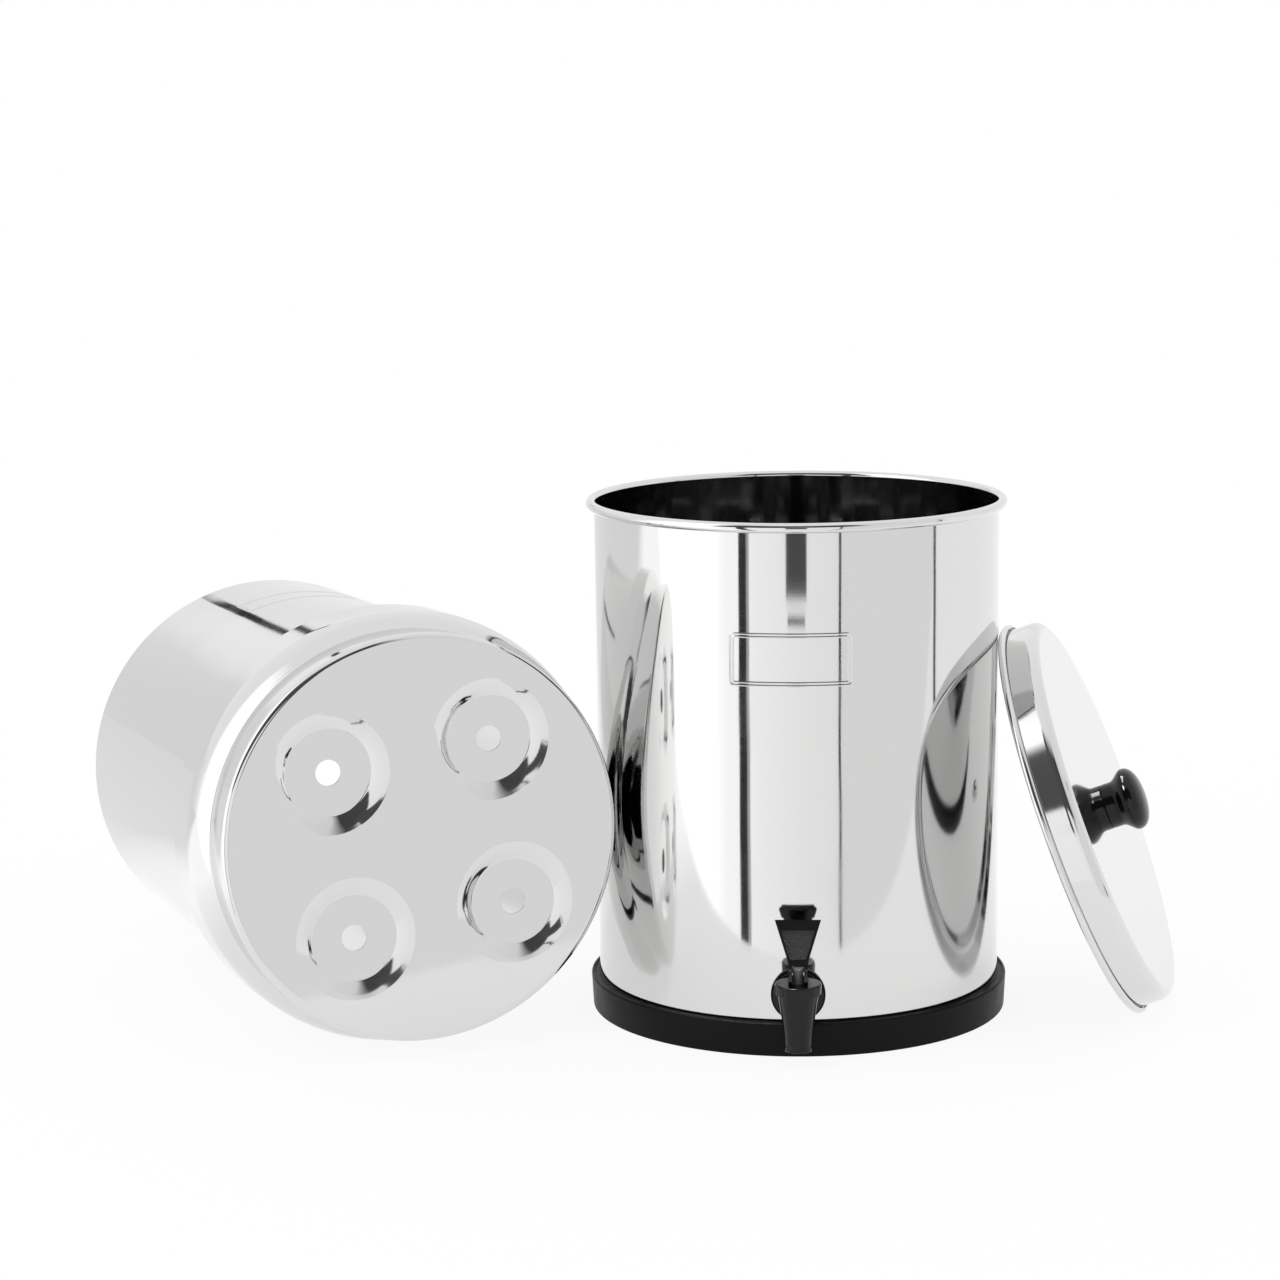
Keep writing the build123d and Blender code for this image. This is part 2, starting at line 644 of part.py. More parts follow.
with BuildPart() as tap_seat_cup:
    with BuildSketch(section(TAP)):
        with BuildLine():
            Polyline(
                (0, SEAT_Z),
                (CUP_R, SEAT_Z),
                (CUP_R, cup_top_z),
                (CUP_R - CUP_WALL, cup_top_z),
                (CUP_R - CUP_WALL, SEAT_Z + CUP_FLOOR),
                (STEM_R + CUP_WALL / 4, SEAT_Z + CUP_FLOOR),
                (STEM_R, cup_top_z),
                (STEM_FOOT_R + RUNNING_FIT, cup_top_z),
                (STEM_FOOT_R + RUNNING_FIT, SEAT_Z + CUP_FLOOR),
                (0, SEAT_Z + CUP_FLOOR),
                close=True,
            )
        make_face()
    revolve(axis=axis_of(TAP))
tap_seat_cup.part.label = "tap_seat_cup"
export_step(tap_seat_cup.part, "parts/tap_seat_cup.step")

with BuildPart() as tap_lever_pin:
    with BuildSketch(LEVER_SIDE):
        Circle(PIN_R)
    extrude(amount=FORK_WIDTH / 2, both=True)
tap_lever_pin.part.label = "tap_lever_pin"
export_step(tap_lever_pin.part, "parts/tap_lever_pin.step")

# ---------------------------------------------------------------- lever
cam_height = PIN_Z - BONNET_TOP - CAM_CLEAR
cam_rise = STEM_LIFT / radians(LEVER_SWING)


def cam_point(turn):
    """Where the cam foot touches the bonnet when the lever has swung this far, in radians.

    The foot is an involute of a circle: the pin's height above the bonnet grows evenly with the
    swing, so the stem rises in step with the lever."""
    height = cam_height + cam_rise * turn
    return (
        height * sin(turn) + cam_rise * cos(turn),
        cam_rise * sin(turn) - height * cos(turn),
    )


def half_width(along):
    """Half the paddle's width at this distance from the pin, along the paddle."""
    widening = (LEVER_TOP_WIDTH - FORK_WIDTH) / 2 / (LEVER_TOP - LEVER_WAIST)
    return FORK_WIDTH / 2 + widening * (along - LEVER_WAIST)


cam_end = radians(LEVER_SWING + CAM_RUN_ON)
flange_foot = LEVER_TOP - BACK_FLANGE
panel_top = LEVER_TOP - LEVER_BAND
panel_top_half = half_width(panel_top) - LEVER_BORDER
panel_foot_half = half_width(PANEL_FOOT) - LEVER_BORDER
slot_r = STEM_DOME_R + 2 * FORK_GAP

with BuildPart() as tap_lever:
    # the cam foot and the eye round the pin
    with BuildSketch(LEVER_SIDE):
        Circle(EYE_R)
        with BuildLine():
            heel = Line((-HEEL_BACK, -cam_height), cam_point(0))
            cam = Spline([cam_point(cam_end * step / CAM_STEPS) for step in range(CAM_STEPS + 1)])
            toe_root = (EYE_R * cos(TOE_TOP), EYE_R * sin(TOE_TOP))
            Polyline(cam @ 1, toe_root, (-HEEL_BACK, 0), heel @ 0)
        make_face()
    extrude(amount=FORK_WIDTH / 2, both=True)
    # the paddle and its neck
    with BuildSketch(LEVER.offset(-LEVER_THICK / 2)) as paddle:
        with BuildLine():
            Polyline(
                (-LEVER_TOP_WIDTH / 2, LEVER_TOP),
                (LEVER_TOP_WIDTH / 2, LEVER_TOP),
                (FORK_WIDTH / 2, LEVER_WAIST),
                (FORK_WIDTH / 2, 0),
                (-FORK_WIDTH / 2, 0),
                (-FORK_WIDTH / 2, LEVER_WAIST),
                close=True,
            )
        make_face()
        fillet(paddle.vertices().group_by(Axis.Y)[-1], LEVER_CORNER_R)
    extrude(amount=LEVER_THICK)
    # the flange along the top of its back, on two ribs
    with BuildSketch(LEVER.offset(-LEVER_THICK / 2)):
        with BuildLine():
            Polyline(
                (-half_width(LEVER_TOP), LEVER_TOP),
                (half_width(LEVER_TOP), LEVER_TOP),
                (half_width(flange_foot), flange_foot),
                (-half_width(flange_foot), flange_foot),
                close=True,
            )
        make_face()
    extrude(amount=-BACK_FLANGE_DEPTH)
    with BuildSketch(LEVER.offset(-LEVER_THICK / 2)):
        with Locations((0, (LEVER_WAIST + flange_foot) / 2)):
            with GridLocations(RIB_WIDTH + RIB_SPACE, 0, 2, 1):
                Rectangle(RIB_WIDTH, flange_foot - LEVER_WAIST)
    extrude(amount=-RIB_DEPTH)
    # the panel sunk in its front
    with BuildSketch(LEVER.offset(LEVER_THICK / 2)):
        with BuildLine():
            Polyline(
                (-panel_top_half, panel_top),
                (panel_top_half, panel_top),
                (panel_foot_half, PANEL_FOOT),
                (-panel_foot_half, PANEL_FOOT),
                close=True,
            )
        make_face()
    extrude(amount=-LEVER_PANEL_DEPTH, mode=Mode.SUBTRACT)
    # the slot between the fork's legs, clear of the stem over the whole swing
    with BuildSketch(LEVER_SIDE):
        Circle(slot_r)
        with Locations((0, EYE_R * sin(TOE_TOP))):
            Rectangle(8 * slot_r, 4 * slot_r, align=(Align.CENTER, Align.MAX))
    extrude(amount=STEM_R + FORK_GAP, both=True, mode=Mode.SUBTRACT)
    with BuildSketch(LEVER_SIDE):
        Circle(PIN_R + RUNNING_FIT)
    extrude(amount=FORK_WIDTH, both=True, mode=Mode.SUBTRACT)
tap_lever.part.label = "tap_lever"
export_step(tap_lever.part, "parts/tap_lever.step")

# ---------------------------------------------------------------- filter elements
element_top = INNER_FLOOR_Z + ELEMENT_HEIGHT
cap_face = element_top + CAP_HEIGHT + CAP_COLLAR
wing_seat = cap_face + ELEMENT_WASHER
places = [(x, y) for y in (ELEMENT_PLACE, -ELEMENT_PLACE) for x in (-ELEMENT_PLACE, ELEMENT_PLACE)]

for number, (place_x, place_y) in enumerate(places, start=1):
    ELEMENT = Plane((place_x, place_y, 0))

    with BuildPart() as filter_element:
        with BuildSketch(ELEMENT.offset(INNER_FLOOR_Z)):
            Circle(ELEMENT_R)
        extrude(amount=ELEMENT_HEIGHT)
        fillet(filter_element.faces().sort_by(Axis.Z)[0].edges(), ELEMENT_EDGE_R)
        with BuildSketch(ELEMENT.offset(element_top)):
            Circle(ELEMENT_CORE_R)
        extrude(amount=ELEMENT_WALL - ELEMENT_HEIGHT, mode=Mode.SUBTRACT)
    filter_element.part.label = f"filter_element_{number}"
    export_step(filter_element.part, f"parts/filter_element_{number}.step")

    with BuildPart() as element_cap:
        with BuildSketch(ELEMENT.offset(element_top)):
            Circle(CAP_R)
        extrude(amount=CAP_HEIGHT)
        fillet(element_cap.faces().sort_by(Axis.Z)[-1].edges(), CAP_EDGE_R)
        with BuildSketch(ELEMENT.offset(element_top + CAP_HEIGHT)):
            Circle(CAP_COLLAR_R)
        extrude(amount=CAP_COLLAR)
        with BuildSketch(ELEMENT.offset(cap_face)):
            Circle(CAP_STEM_R)
        extrude(amount=CAP_STEM)
        with BuildSketch(ELEMENT.offset(element_top)):
            Circle(CAP_STEM_BORE_R)
        extrude(amount=CAP_HEIGHT + CAP_COLLAR + CAP_STEM, mode=Mode.SUBTRACT)
    element_cap.part.label = f"element_cap_{number}"
    export_step(element_cap.part, f"parts/element_cap_{number}.step")

    with BuildPart() as element_washer:
        with BuildSketch(ELEMENT.offset(cap_face)):
            Circle(ELEMENT_WASHER_R)
            Circle(CAP_STEM_R + RUNNING_FIT, mode=Mode.SUBTRACT)
        extrude(amount=ELEMENT_WASHER)
    element_washer.part.label = f"element_washer_{number}"
    export_step(element_washer.part, f"parts/element_washer_{number}.step")

    with BuildPart() as wing_nut:
        with BuildSketch(ELEMENT.offset(wing_seat)):
            Circle(WING_HUB_R)
        extrude(amount=WING_HUB, taper=WING_HUB_TAPER)
        with BuildSketch(section(ELEMENT)) as wings:
            with BuildLine():
                wing = Polyline(
                    (0, wing_seat),
                    (WING_HUB_R, wing_seat),
                    (WING_SPAN / 2, wing_seat + WING_HUB / 2),
                    (WING_SPAN / 2, wing_seat + WING_HEIGHT),
                    (WING_HUB_R, wing_seat + WING_HEIGHT),
                    (CAP_STEM_R, wing_seat + WING_HUB),
                    (0, wing_seat + WING_HUB),
                )
                mirror(wing, about=Plane.YZ)
            make_face()
            tips = wings.vertices().group_by(Axis.X)
            fillet(tips[0] + tips[-1], WING_TIP_R)
        extrude(amount=WING_THICK / 2, both=True)
        with BuildSketch(ELEMENT.offset(wing_seat)):
            Circle(CAP_STEM_R + RUNNING_FIT)
        extrude(amount=WING_HEIGHT, mode=Mode.SUBTRACT)
    wing_nut.part.label = f"wing_nut_{number}"
    export_step(wing_nut.part, f"parts/wing_nut_{number}.step")
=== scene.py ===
"""Looks of the gravity water filter: finely turned surfaces and procedural finishes laid over
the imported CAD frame, on a white studio floor.

Shapes are worked out in millimetres in each piece's own frame, whose z axis is the one that the
piece is turned about, and are taken to the shared frame and to metres when a mesh is made.
Named angles are in degrees."""

from math import asin, atan2, cos, degrees, pi, radians, sin, sqrt, tan

import bpy
import numpy as np
from mathutils import Matrix, Vector
from mathutils.geometry import delaunay_2d_cdt


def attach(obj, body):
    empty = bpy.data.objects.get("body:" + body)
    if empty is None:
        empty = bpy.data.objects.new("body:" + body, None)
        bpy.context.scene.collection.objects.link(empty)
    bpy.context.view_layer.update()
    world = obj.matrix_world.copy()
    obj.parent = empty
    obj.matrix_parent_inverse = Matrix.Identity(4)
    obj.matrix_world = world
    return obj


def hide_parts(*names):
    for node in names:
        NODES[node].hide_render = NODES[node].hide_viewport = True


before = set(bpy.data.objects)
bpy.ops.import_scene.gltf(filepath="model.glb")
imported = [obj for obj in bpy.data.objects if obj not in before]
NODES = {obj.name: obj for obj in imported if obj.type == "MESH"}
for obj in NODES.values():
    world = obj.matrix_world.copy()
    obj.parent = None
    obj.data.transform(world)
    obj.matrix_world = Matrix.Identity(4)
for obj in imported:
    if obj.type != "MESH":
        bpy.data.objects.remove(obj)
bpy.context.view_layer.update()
MM = 0.001

# ------------------------------------------------------------------ sizes shared with the CAD
RUNNING_FIT = 0.05  # radial, between a pin or stem and its hole
CURVED_SEAT = 0.05  # between two curved faces that rest on each other
CHAMBER_GAP = 0.8  # between the lying upper chamber and the lower chamber
LID_GAP = 0.5  # between the leaning lid's bead and the lower chamber

# Lower chamber
SHEET = 1.0
WALL_R = 120.5
LOWER_TOP = 309.1
LOWER_CORNER_R = 6.0
LOWER_ROLL_R = 2.9
FLOOR_Z = 4.0

# Base ring that the lower chamber stands in
RING_HEIGHT = 20.0
RING_WALL = 5.1  # outside the chamber's wall, at the top
RING_DRAFT = 1.0  # how much narrower its foot is, in radius
RING_SEAT = 12.5  # how far it reaches in under the chamber
RING_LIP = 1.8
RING_LIP_DROP = 1.0
RING_START_R = 114.0  # where its outline starts, on its flat underside

# Embossed frame round the bare badge place, two thin raised borders
BADGE_WIDTH = 70.5
BADGE_HEIGHT = 30.4
BADGE_CORNER_R = 2.3
BADGE_BORDER = 0.8
BADGE_SPACE = 0.9
BADGE_RELIEF = 0.35
BADGE_SUNK = 0.02  # its feet lie this far inside the wall
BADGE_FOOT = 0.775  # from a border's middle to its foot
BADGE_SHIFT = -3.6  # of the lower chamber's badge, from its middle line
BADGE_Z = 230.7
BADGE_DEPTH = 92.0  # of the upper chamber's badge, below its rim
BADGE_TURN = -87.5  # where it is round the upper chamber, from its outer side

# Upper chamber: a cup with a seating ridge and a stepped-in neck
NECK_R = 118.2
NECK_LENGTH = 27.0
UPPER_CORNER_R = 3.8
RIDGE_R = 126.7
RIDGE_NEAR = 47.0
RIDGE_FAR = 76.0
RIDGE_STEP_RUN = 4.0
RIDGE_STEP_R = 2.0
BODY_R = 117.7
RIM_R = 117.2
UPPER_LENGTH = 318.8
UPPER_ROLL_R = 2.0
UPPER_TURN = 24.3  # the lying chamber's floor is turned this far from the front
UPPER_AHEAD = 28.8  # how far its floor lies ahead of the lower chamber's middle

# Four filter holes, each in the middle of a dish pressed into the floor
HOLE_COUNT = 4
HOLE_R = 7.5
HOLE_PITCH_R = 68.5
HOLE_START = 51.9  # where the first is, round the floor
HOLE_EDGE_R = 0.18
DISH_DEPTH = 4.0
DISH_R = 25.2  # of its flat middle
DISH_SHOULDER_R = 29.6  # where the steep wall turns into the gentle slope
DISH_RIM_R = 35.4
DISH_STEEP = 28.0  # the steep wall's angle from the floor
DISH_BLENDS = (3.0, 34.0, 0.7)  # roundings at the flat middle, the shoulder and the rim
FLAT_EDGE = 2.0  # the flat floor ends this far inside the rounding of the neck's corner
EDGE_R = NECK_R - UPPER_CORNER_R - FLAT_EDGE

# Lid
LID_SHEET = 0.8
SKIRT_R = 118.8
LID_HEIGHT = 20.6
LID_CORNER_R = 6.5
LID_ROLL_R = 2.2
LID_TURN = -9.2  # heading of the leaning lid's top, from +X
LID_LEAN = 21.0  # how far its top looks up
LID_ASIDE = 18.4  # how far it leans off the line through the lower chamber's middle

# Lid knob
KNOB_BASE_R = 13.5
KNOB_BASE_HEIGHT = 5.5
KNOB_BASE_EDGE_R = 0.7
KNOB_R = 18.9
KNOB_WIDEST = 14.6
KNOB_HEIGHT = 23.5
CROWN_FULLNESS = 0.63  # 0.55 is elliptical, 1 is square

# Tap: where it is, its arm, flange and shank
TAP_Y = -144.5
TAP_Z = 36.3
ARM_R = 6.6
ARM_HOLLOW = 2.0  # how far the arm's hidden end is drawn in
FLANGE_R = 14.4
FLANGE = 2.4
FLANGE_BACK = 21.8  # from the tap's axis, as are the two ends below
SHANK_R = 8.0
SHANK_BORE_R = 5.0
SHANK_END = 45.0
SHANK_BORE_END = 9.5

# Tap body, spout to bonnet
SPOUT_Z = 10.0
SPOUT_R = 7.7
SPOUT_TOP_Z = 13.8
SPOUT_LIP_R = 8.0
SPOUT_LIP = 2.2
SPOUT_BORE_R = 5.8
TAP_WAIST_R = 9.9
TAP_WAIST_Z = 31.6
TAP_SHOULDER_R = 11.8
BONNET_Z = 43.2
CAVITY_R = 8.6
SEAT_Z = 25.0
SEAT_BORE_R = 4.6
NECK_THREAD_R = 10.8
NECK_THREAD_TOP = 47.0

# Tap bonnet and its moulded grips
BONNET_R = 13.4
BONNET_TOP = 49.4
BONNET_ROOF = 2.0
BONNET_EDGE_R = 0.8
BONNET_SKIRT_R = 13.0
BONNET_START_R = 11.5  # where its outline starts, on its underside
GRIP_COUNT = 8
GRIP_START = -76.0
GRIP_HALF = 0.8
GRIP_RISE = 0.35
GRIP_ROOT = 0.1  # a grip grows out of this much of the skirt's radius
GRIP_TOP = 48.7
GRIP_FADE = 0.3

# Tap stem and lever, with the recessed panel in the lever's face
STEM_R = 3.2
PIN_Z = 54.4
LEVER_LEAN = 15.0  # back from upright
PANEL_FOOT = 8.2
PANEL_TOP = 25.0
PANEL_HALF = 4.62  # half its width at its foot
PANEL_WIDENING = 0.311  # of that half for each millimetre up


# ------------------------------------------------------------------ where the pieces lie
def place(origin, x_dir, z_dir):
    """A 4x4 matrix from a piece's own millimetre frame to the shared one."""
    x = Vector(x_dir).normalized()
    z = Vector(z_dir).normalized()
    y = z.cross(x)
    matrix = Matrix((x, y, z)).transposed().to_4x4()
    matrix.translation = origin
    return matrix


def lying_chamber():
    """The upper chamber rests on its ridge and its open rim, beside the lower chamber.

    It tips up by the angle whose sine is the ridge's overhang over the length from ridge to rim,
    and its middle stands off so far that ridge and wall are a chamber gap apart."""
    tip = asin((RIDGE_R - RIM_R) / (UPPER_LENGTH - RIDGE_FAR))
    turn = radians(UPPER_TURN)
    heading = Vector((sin(turn), -cos(turn), 0))
    side = Vector((cos(turn), sin(turn), 0))
    out = heading * cos(tip) + Vector((0, 0, sin(tip)))
    ahead = UPPER_AHEAD - RIDGE_NEAR
    aside = RIDGE_R + sqrt((WALL_R + CHAMBER_GAP) ** 2 - ahead**2)
    rise = RIDGE_FAR * sin(tip) + RIDGE_R * cos(tip)
    return place(heading * UPPER_AHEAD - side * aside + Vector((0, 0, rise)), -side, -out)


def leaning_lid():
    """The lid rests on its bead, on the floor and against the lower chamber's wall.

    Its middle stands off from the wall by the reach of the bead's ring at the touching point,
    and above the floor by the ring's radius times the cosine of its lean."""
    turn, lean = radians(LID_TURN), radians(LID_LEAN)
    heading = Vector((cos(turn), sin(turn), 0))
    side = Vector((-sin(turn), cos(turn), 0))
    roll_r = SKIRT_R - LID_SHEET + LID_ROLL_R
    reach = sqrt(roll_r**2 - LID_ASIDE**2) * sin(lean)
    away = WALL_R + LID_GAP + LID_ROLL_R + reach
    rise = roll_r * cos(lean) + LID_ROLL_R
    origin = heading * away + side * LID_ASIDE + Vector((0, 0, rise))
    return place(origin, side, heading * cos(lean) + Vector((0, 0, sin(lean))))


STAND = Matrix.Identity(4)
UPPER = lying_chamber()
LID = leaning_lid()
LID_FACE = LID @ Matrix.Translation((0, 0, LID_HEIGHT))
TAP = Matrix.Translation((0, TAP_Y, 0))
SHANK = place((0, TAP_Y, TAP_Z), (1, 0, 0), (0, 1, 0))
lever_turn = radians(LEVER_LEAN)
LEVER = place((0, TAP_Y, PIN_Z), (1, 0, 0), (0, -cos(lever_turn), sin(lever_turn)))

# ------------------------------------------------------------------ profiles
TINY = 1e-6  # under this, a corner is straight or a point lies on the axis
SAME_POINT = 1e-9  # points nearer than this are one


def arc(centre, radius, start, end, steps=16):
    """Points centre + radius (cos a, sin a), for evenly spaced angles a in degrees."""
    a = np.radians(np.linspace(start, end, steps + 1))
    return np.stack([centre[0] + radius * np.cos(a), centre[1] + radius * np.sin(a)], 1)


def rounded(points, radii, steps=10):
    """A polyline with each inner corner rounded by the matching radius.

    The rounding's circle touches both runs: its centre lies on the line that halves the corner,
    radius / sin(half the corner) away, and its arc turns evenly from one touching point to the
    other, each radius / tan(half the corner) from the corner."""
    p = np.array(points, float)
    out = [p[:1]]
    for k, r in enumerate(radii, start=1):
        back, ahead = p[k - 1] - p[k], p[k + 1] - p[k]
        back, ahead = back / np.linalg.norm(back), ahead / np.linalg.norm(ahead)
        half = np.arccos(np.clip(back @ ahead, -1, 1)) / 2
        if abs(half - pi / 2) < TINY:
            out.append(p[k : k + 1])
            continue
        centre = p[k] + (back + ahead) / np.linalg.norm(back + ahead) * r / np.sin(half)
        start = p[k] + back * r / np.tan(half) - centre
        end = p[k] + ahead * r / np.tan(half) - centre
        t = np.linspace(0, 1, steps + 1)[:, None]
        turn = np.arccos(np.clip(start @ end / r**2, -1, 1))
        spoke = (np.sin((1 - t) * turn) * start + np.sin(t * turn) * end) / np.sin(turn)
        out.append(centre + spoke)
    out.append(p[-1:])
    return np.concatenate(out)


def fine(profile, step=3.0, hold=0.25):
    """The profile with its long runs cut, so that smooth shading stays true near its corners.

    A run longer than four holds is cut at a hold from either end, and about every step between
    those two cuts. A run of no length is dropped."""
    run = np.diff(profile, axis=0)
    length = np.linalg.norm(run, axis=1)
    real = length > SAME_POINT
    start, run, length = profile[:-1][real], run[real], length[real]
    cuts = np.where(length > 4 * hold, np.maximum(2, (length / step).astype(int) + 1), 0)
    pieces = cuts + 1
    of = np.repeat(np.arange(len(run)), pieces)
    order = np.arange(len(of)) - np.repeat(np.cumsum(pieces) - pieces, pieces)
    between = hold + (length - 2 * hold)[of] * order / np.maximum(cuts - 1, 1)[of]
    along = np.where(order < cuts[of], between, length[of])
    return np.concatenate([profile[:1], start[of] + run[of] * (along / length[of])[:, None]])


# ------------------------------------------------------------------ meshes
def build(name, parts, body, material, replaced):
    """One piece from several (points, faces, uvs) parts in the shared frame, in millimetres.

    A part's faces and uvs are lists of whole arrays, one array for each kind of polygon."""
    points, corners, totals, uvs, base = [], [], [], [], 0
    for part_points, part_faces, part_uvs in parts:
        points.append(part_points)
        for faces, uv in zip(part_faces, part_uvs):
            corners.append(faces.reshape(-1) + base)
            totals.append(np.full(len(faces), faces.shape[1]))
            uvs.append(uv.reshape(-1, 2))
        base += len(part_points)
    corners, totals = np.concatenate(corners), np.concatenate(totals)
    starts = np.concatenate([[0], np.cumsum(totals)[:-1]])
    mesh = bpy.data.meshes.new(name)
    mesh.vertices.add(base)
    mesh.vertices.foreach_set("co", (np.concatenate(points) * MM).astype(np.float32).ravel())
    mesh.loops.add(len(corners))
    mesh.loops.foreach_set("vertex_index", corners.astype(np.int32))
    mesh.polygons.add(len(totals))
    mesh.polygons.foreach_set("loop_start", starts.astype(np.int32))
    mesh.update(calc_edges=True)
    layer = mesh.uv_layers.new(name="UVMap")
    layer.data.foreach_set("uv", np.concatenate(uvs).astype(np.float32).ravel())
    mesh.shade_smooth()
    mesh.validate()
    mesh.materials.append(material)
    piece = bpy.data.objects.new(name, mesh)
    bpy.context.scene.collection.objects.link(piece)
    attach(piece, body)
    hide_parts(replaced)
    return piece


def moved(matrix, points):
    """Points taken through a 4x4 matrix."""
    m = np.array(matrix)
    return points @ m[:3, :3].T + m[:3, 3]


def sheet_of(grid, wrap_rows=False, wrap_columns=True):
    """Faces and uvs of a grid of points (rows, columns, 3): u runs along its columns.

    Each face joins point (i, j) to its next column, next row and both; a wrapped side joins its
    last line to its first."""
    rows, columns = grid.shape[:2]
    r = np.arange(rows if wrap_rows else rows - 1)
    c = np.arange(columns if wrap_columns else columns - 1)
    i, j = np.meshgrid(r, c, indexing="ij")
    i2, j2 = (i + 1) % rows, (j + 1) % columns
    faces = np.stack([i * columns + j, i * columns + j2, i2 * columns + j2, i2 * columns + j], -1)
    u = np.stack([j, j + 1, j + 1, j], -1) / columns
    v = np.stack([i, i, i + 1, i + 1], -1) / rows
    return faces.reshape(-1, 4), np.stack([u, v], -1).reshape(-1, 4, 2)


def turned(profile, matrix, segments=320, closed=False, warp=None):
    """A profile of (radius, height) turned about the piece's own z axis.

    At each angle a round the axis its points are (radius cos a, radius sin a, height). It runs
    with the material on its left, so the faces look outwards. An end on the axis is closed to
    one point. warp may change the radius, given (angle, radius, height) for the whole grid."""
    first_pole, last_pole = (not closed and profile[k, 0] < TINY for k in (0, -1))
    ring = profile[int(first_pole) : len(profile) - int(last_pole)]
    angle = np.linspace(0, 2 * pi, segments, endpoint=False)[None, :].repeat(len(ring), 0)
    radius = ring[:, :1].repeat(segments, 1)
    height = ring[:, 1:].repeat(segments, 1)
    if warp:
        radius = warp(angle, radius, height)
    grid = np.stack([radius * np.cos(angle), radius * np.sin(angle), height], -1)
    faces, uv = sheet_of(grid, wrap_rows=closed)
    points, all_faces, all_uv = [grid.reshape(-1, 3)], [faces], [uv]
    j = np.arange(segments)
    after = (j + 1) % segments
    mark = np.stack([j, j], -1)[:, None].repeat(3, 1) / segments
    count = grid.shape[0] * segments
    if first_pole:
        points.append(np.array([[0, 0, profile[0, 1]]]))
        all_faces.append(np.stack([np.full(segments, count), after, j], -1))
        all_uv.append(mark)
        count += 1
    if last_pole:
        last_row = (grid.shape[0] - 1) * segments
        points.append(np.array([[0, 0, profile[-1, 1]]]))
        all_faces.append(np.stack([last_row + j, last_row + after, np.full(segments, count)], -1))
        all_uv.append(mark)
    return moved(matrix, np.concatenate(points)), all_faces, all_uv


def holed_plane(height, middles, hole_r, up, segments=300, hole_segments=96):
    """The flat part of the upper chamber's floor, between its rounded edge and its dishes.

    Its outer ring and the dishes' rings are joined by triangles; those whose middle lies inside
    a dish are left out."""
    a = np.linspace(0, 2 * pi, segments, endpoint=False)
    b = np.linspace(0, 2 * pi, hole_segments, endpoint=False)
    loops = [EDGE_R * np.stack([np.cos(a), np.sin(a)], 1)]
    loops += [middle + hole_r * np.stack([np.cos(b), np.sin(b)], 1) for middle in middles]
    edges, base = [], 0
    for loop in loops:
        k = np.arange(len(loop))
        edges.append(np.stack([base + k, base + (k + 1) % len(loop)], 1))
        base += len(loop)
    spots, _, triangles, *_ = delaunay_2d_cdt(
        [Vector(spot) for spot in np.concatenate(loops)],
        np.concatenate(edges).tolist(), [], 0, 1e-5,
    )
    flat, faces = np.array([spot[:] for spot in spots]), np.array(triangles)
    centres = flat[faces].mean(1)
    nearest_dish = np.linalg.norm(centres[:, None] - middles, axis=2).min(1)
    just_inside = hole_r * 0.9995
    keep = (np.linalg.norm(centres, axis=1) < EDGE_R) & (nearest_dish > just_inside)
    faces = faces[keep] if up else faces[keep][:, ::-1]
    points = np.concatenate([flat, np.full((len(flat), 1), height)], 1)
    return moved(UPPER, points), [faces], [flat[faces] / (2 * EDGE_R) + 0.5]


def badge_border(inset, surface, matrix, axis_turn, middle):
    """One raised border of the badge frame, a smooth ridge wrapped round a turned wall.

    Its path is a rounded rectangle on the flat, x round the wall and y along it. Across the path
    the ridge rises as the relief times cos squared, from a foot sunk a little into the wall on
    either side. A point at (x, y) goes to the angle axis_turn + x / r and the height middle + y,
    where r = surface(height) is the wall's radius there."""
    w = BADGE_WIDTH / 2 - inset - BADGE_BORDER / 2
    h = BADGE_HEIGHT / 2 - inset - BADGE_BORDER / 2
    r = BADGE_CORNER_R - inset / 2 - BADGE_BORDER / 2
    corners = [
        arc((x * (w - r), y * (h - r)), r, start, start + 90, steps=12)
        for start, x, y in ((0, 1, 1), (90, -1, 1), (180, -1, -1), (270, 1, -1))
    ]
    path = fine(np.concatenate(corners + [corners[0][:1]]), step=1.0, hold=0.3)[:-1]
    ahead = np.roll(path, -1, 0) - np.roll(path, 1, 0)
    ahead /= np.linalg.norm(ahead, axis=1)[:, None]
    across = np.stack([ahead[:, 1], -ahead[:, 0]], 1)
    s = np.linspace(-1, 1, 15)[:, None]
    rise = BADGE_RELIEF * np.cos(s * pi / 2) ** 2 - BADGE_SUNK
    flat = path + across * (s * BADGE_FOOT)[..., None]
    height = middle + flat[..., 1]
    radius = surface(height) + rise
    angle = axis_turn + flat[..., 0] / surface(height)
    grid = np.stack([radius * np.cos(angle), radius * np.sin(angle), height], -1)
    faces, uv = sheet_of(grid)
    return moved(matrix, grid.reshape(-1, 3)), [faces], [uv]


def badge_frame(surface, matrix, axis_turn, middle):
    """The frame's outer and inner border."""
    insets = (0.0, BADGE_BORDER + BADGE_SPACE)
    return [badge_border(inset, surface, matrix, axis_turn, middle) for inset in insets]


# ------------------------------------------------------------------ shader nodes
def bare_material(name):
    """A new material with an empty node tree, and the socket that takes its surface."""
    material = bpy.data.materials.new(name)
    material.use_nodes = True
    tree = material.node_tree
    tree.nodes.clear()
    end = tree.nodes.new("ShaderNodeOutputMaterial")
    return material, tree, end.inputs["Surface"]


def shaded(name):
    """A new material with its Principled shader."""
    material, tree, surface = bare_material(name)
    shader = tree.nodes.new("ShaderNodeBsdfPrincipled")
    tree.links.new(shader.outputs[0], surface)
    return material, tree, shader


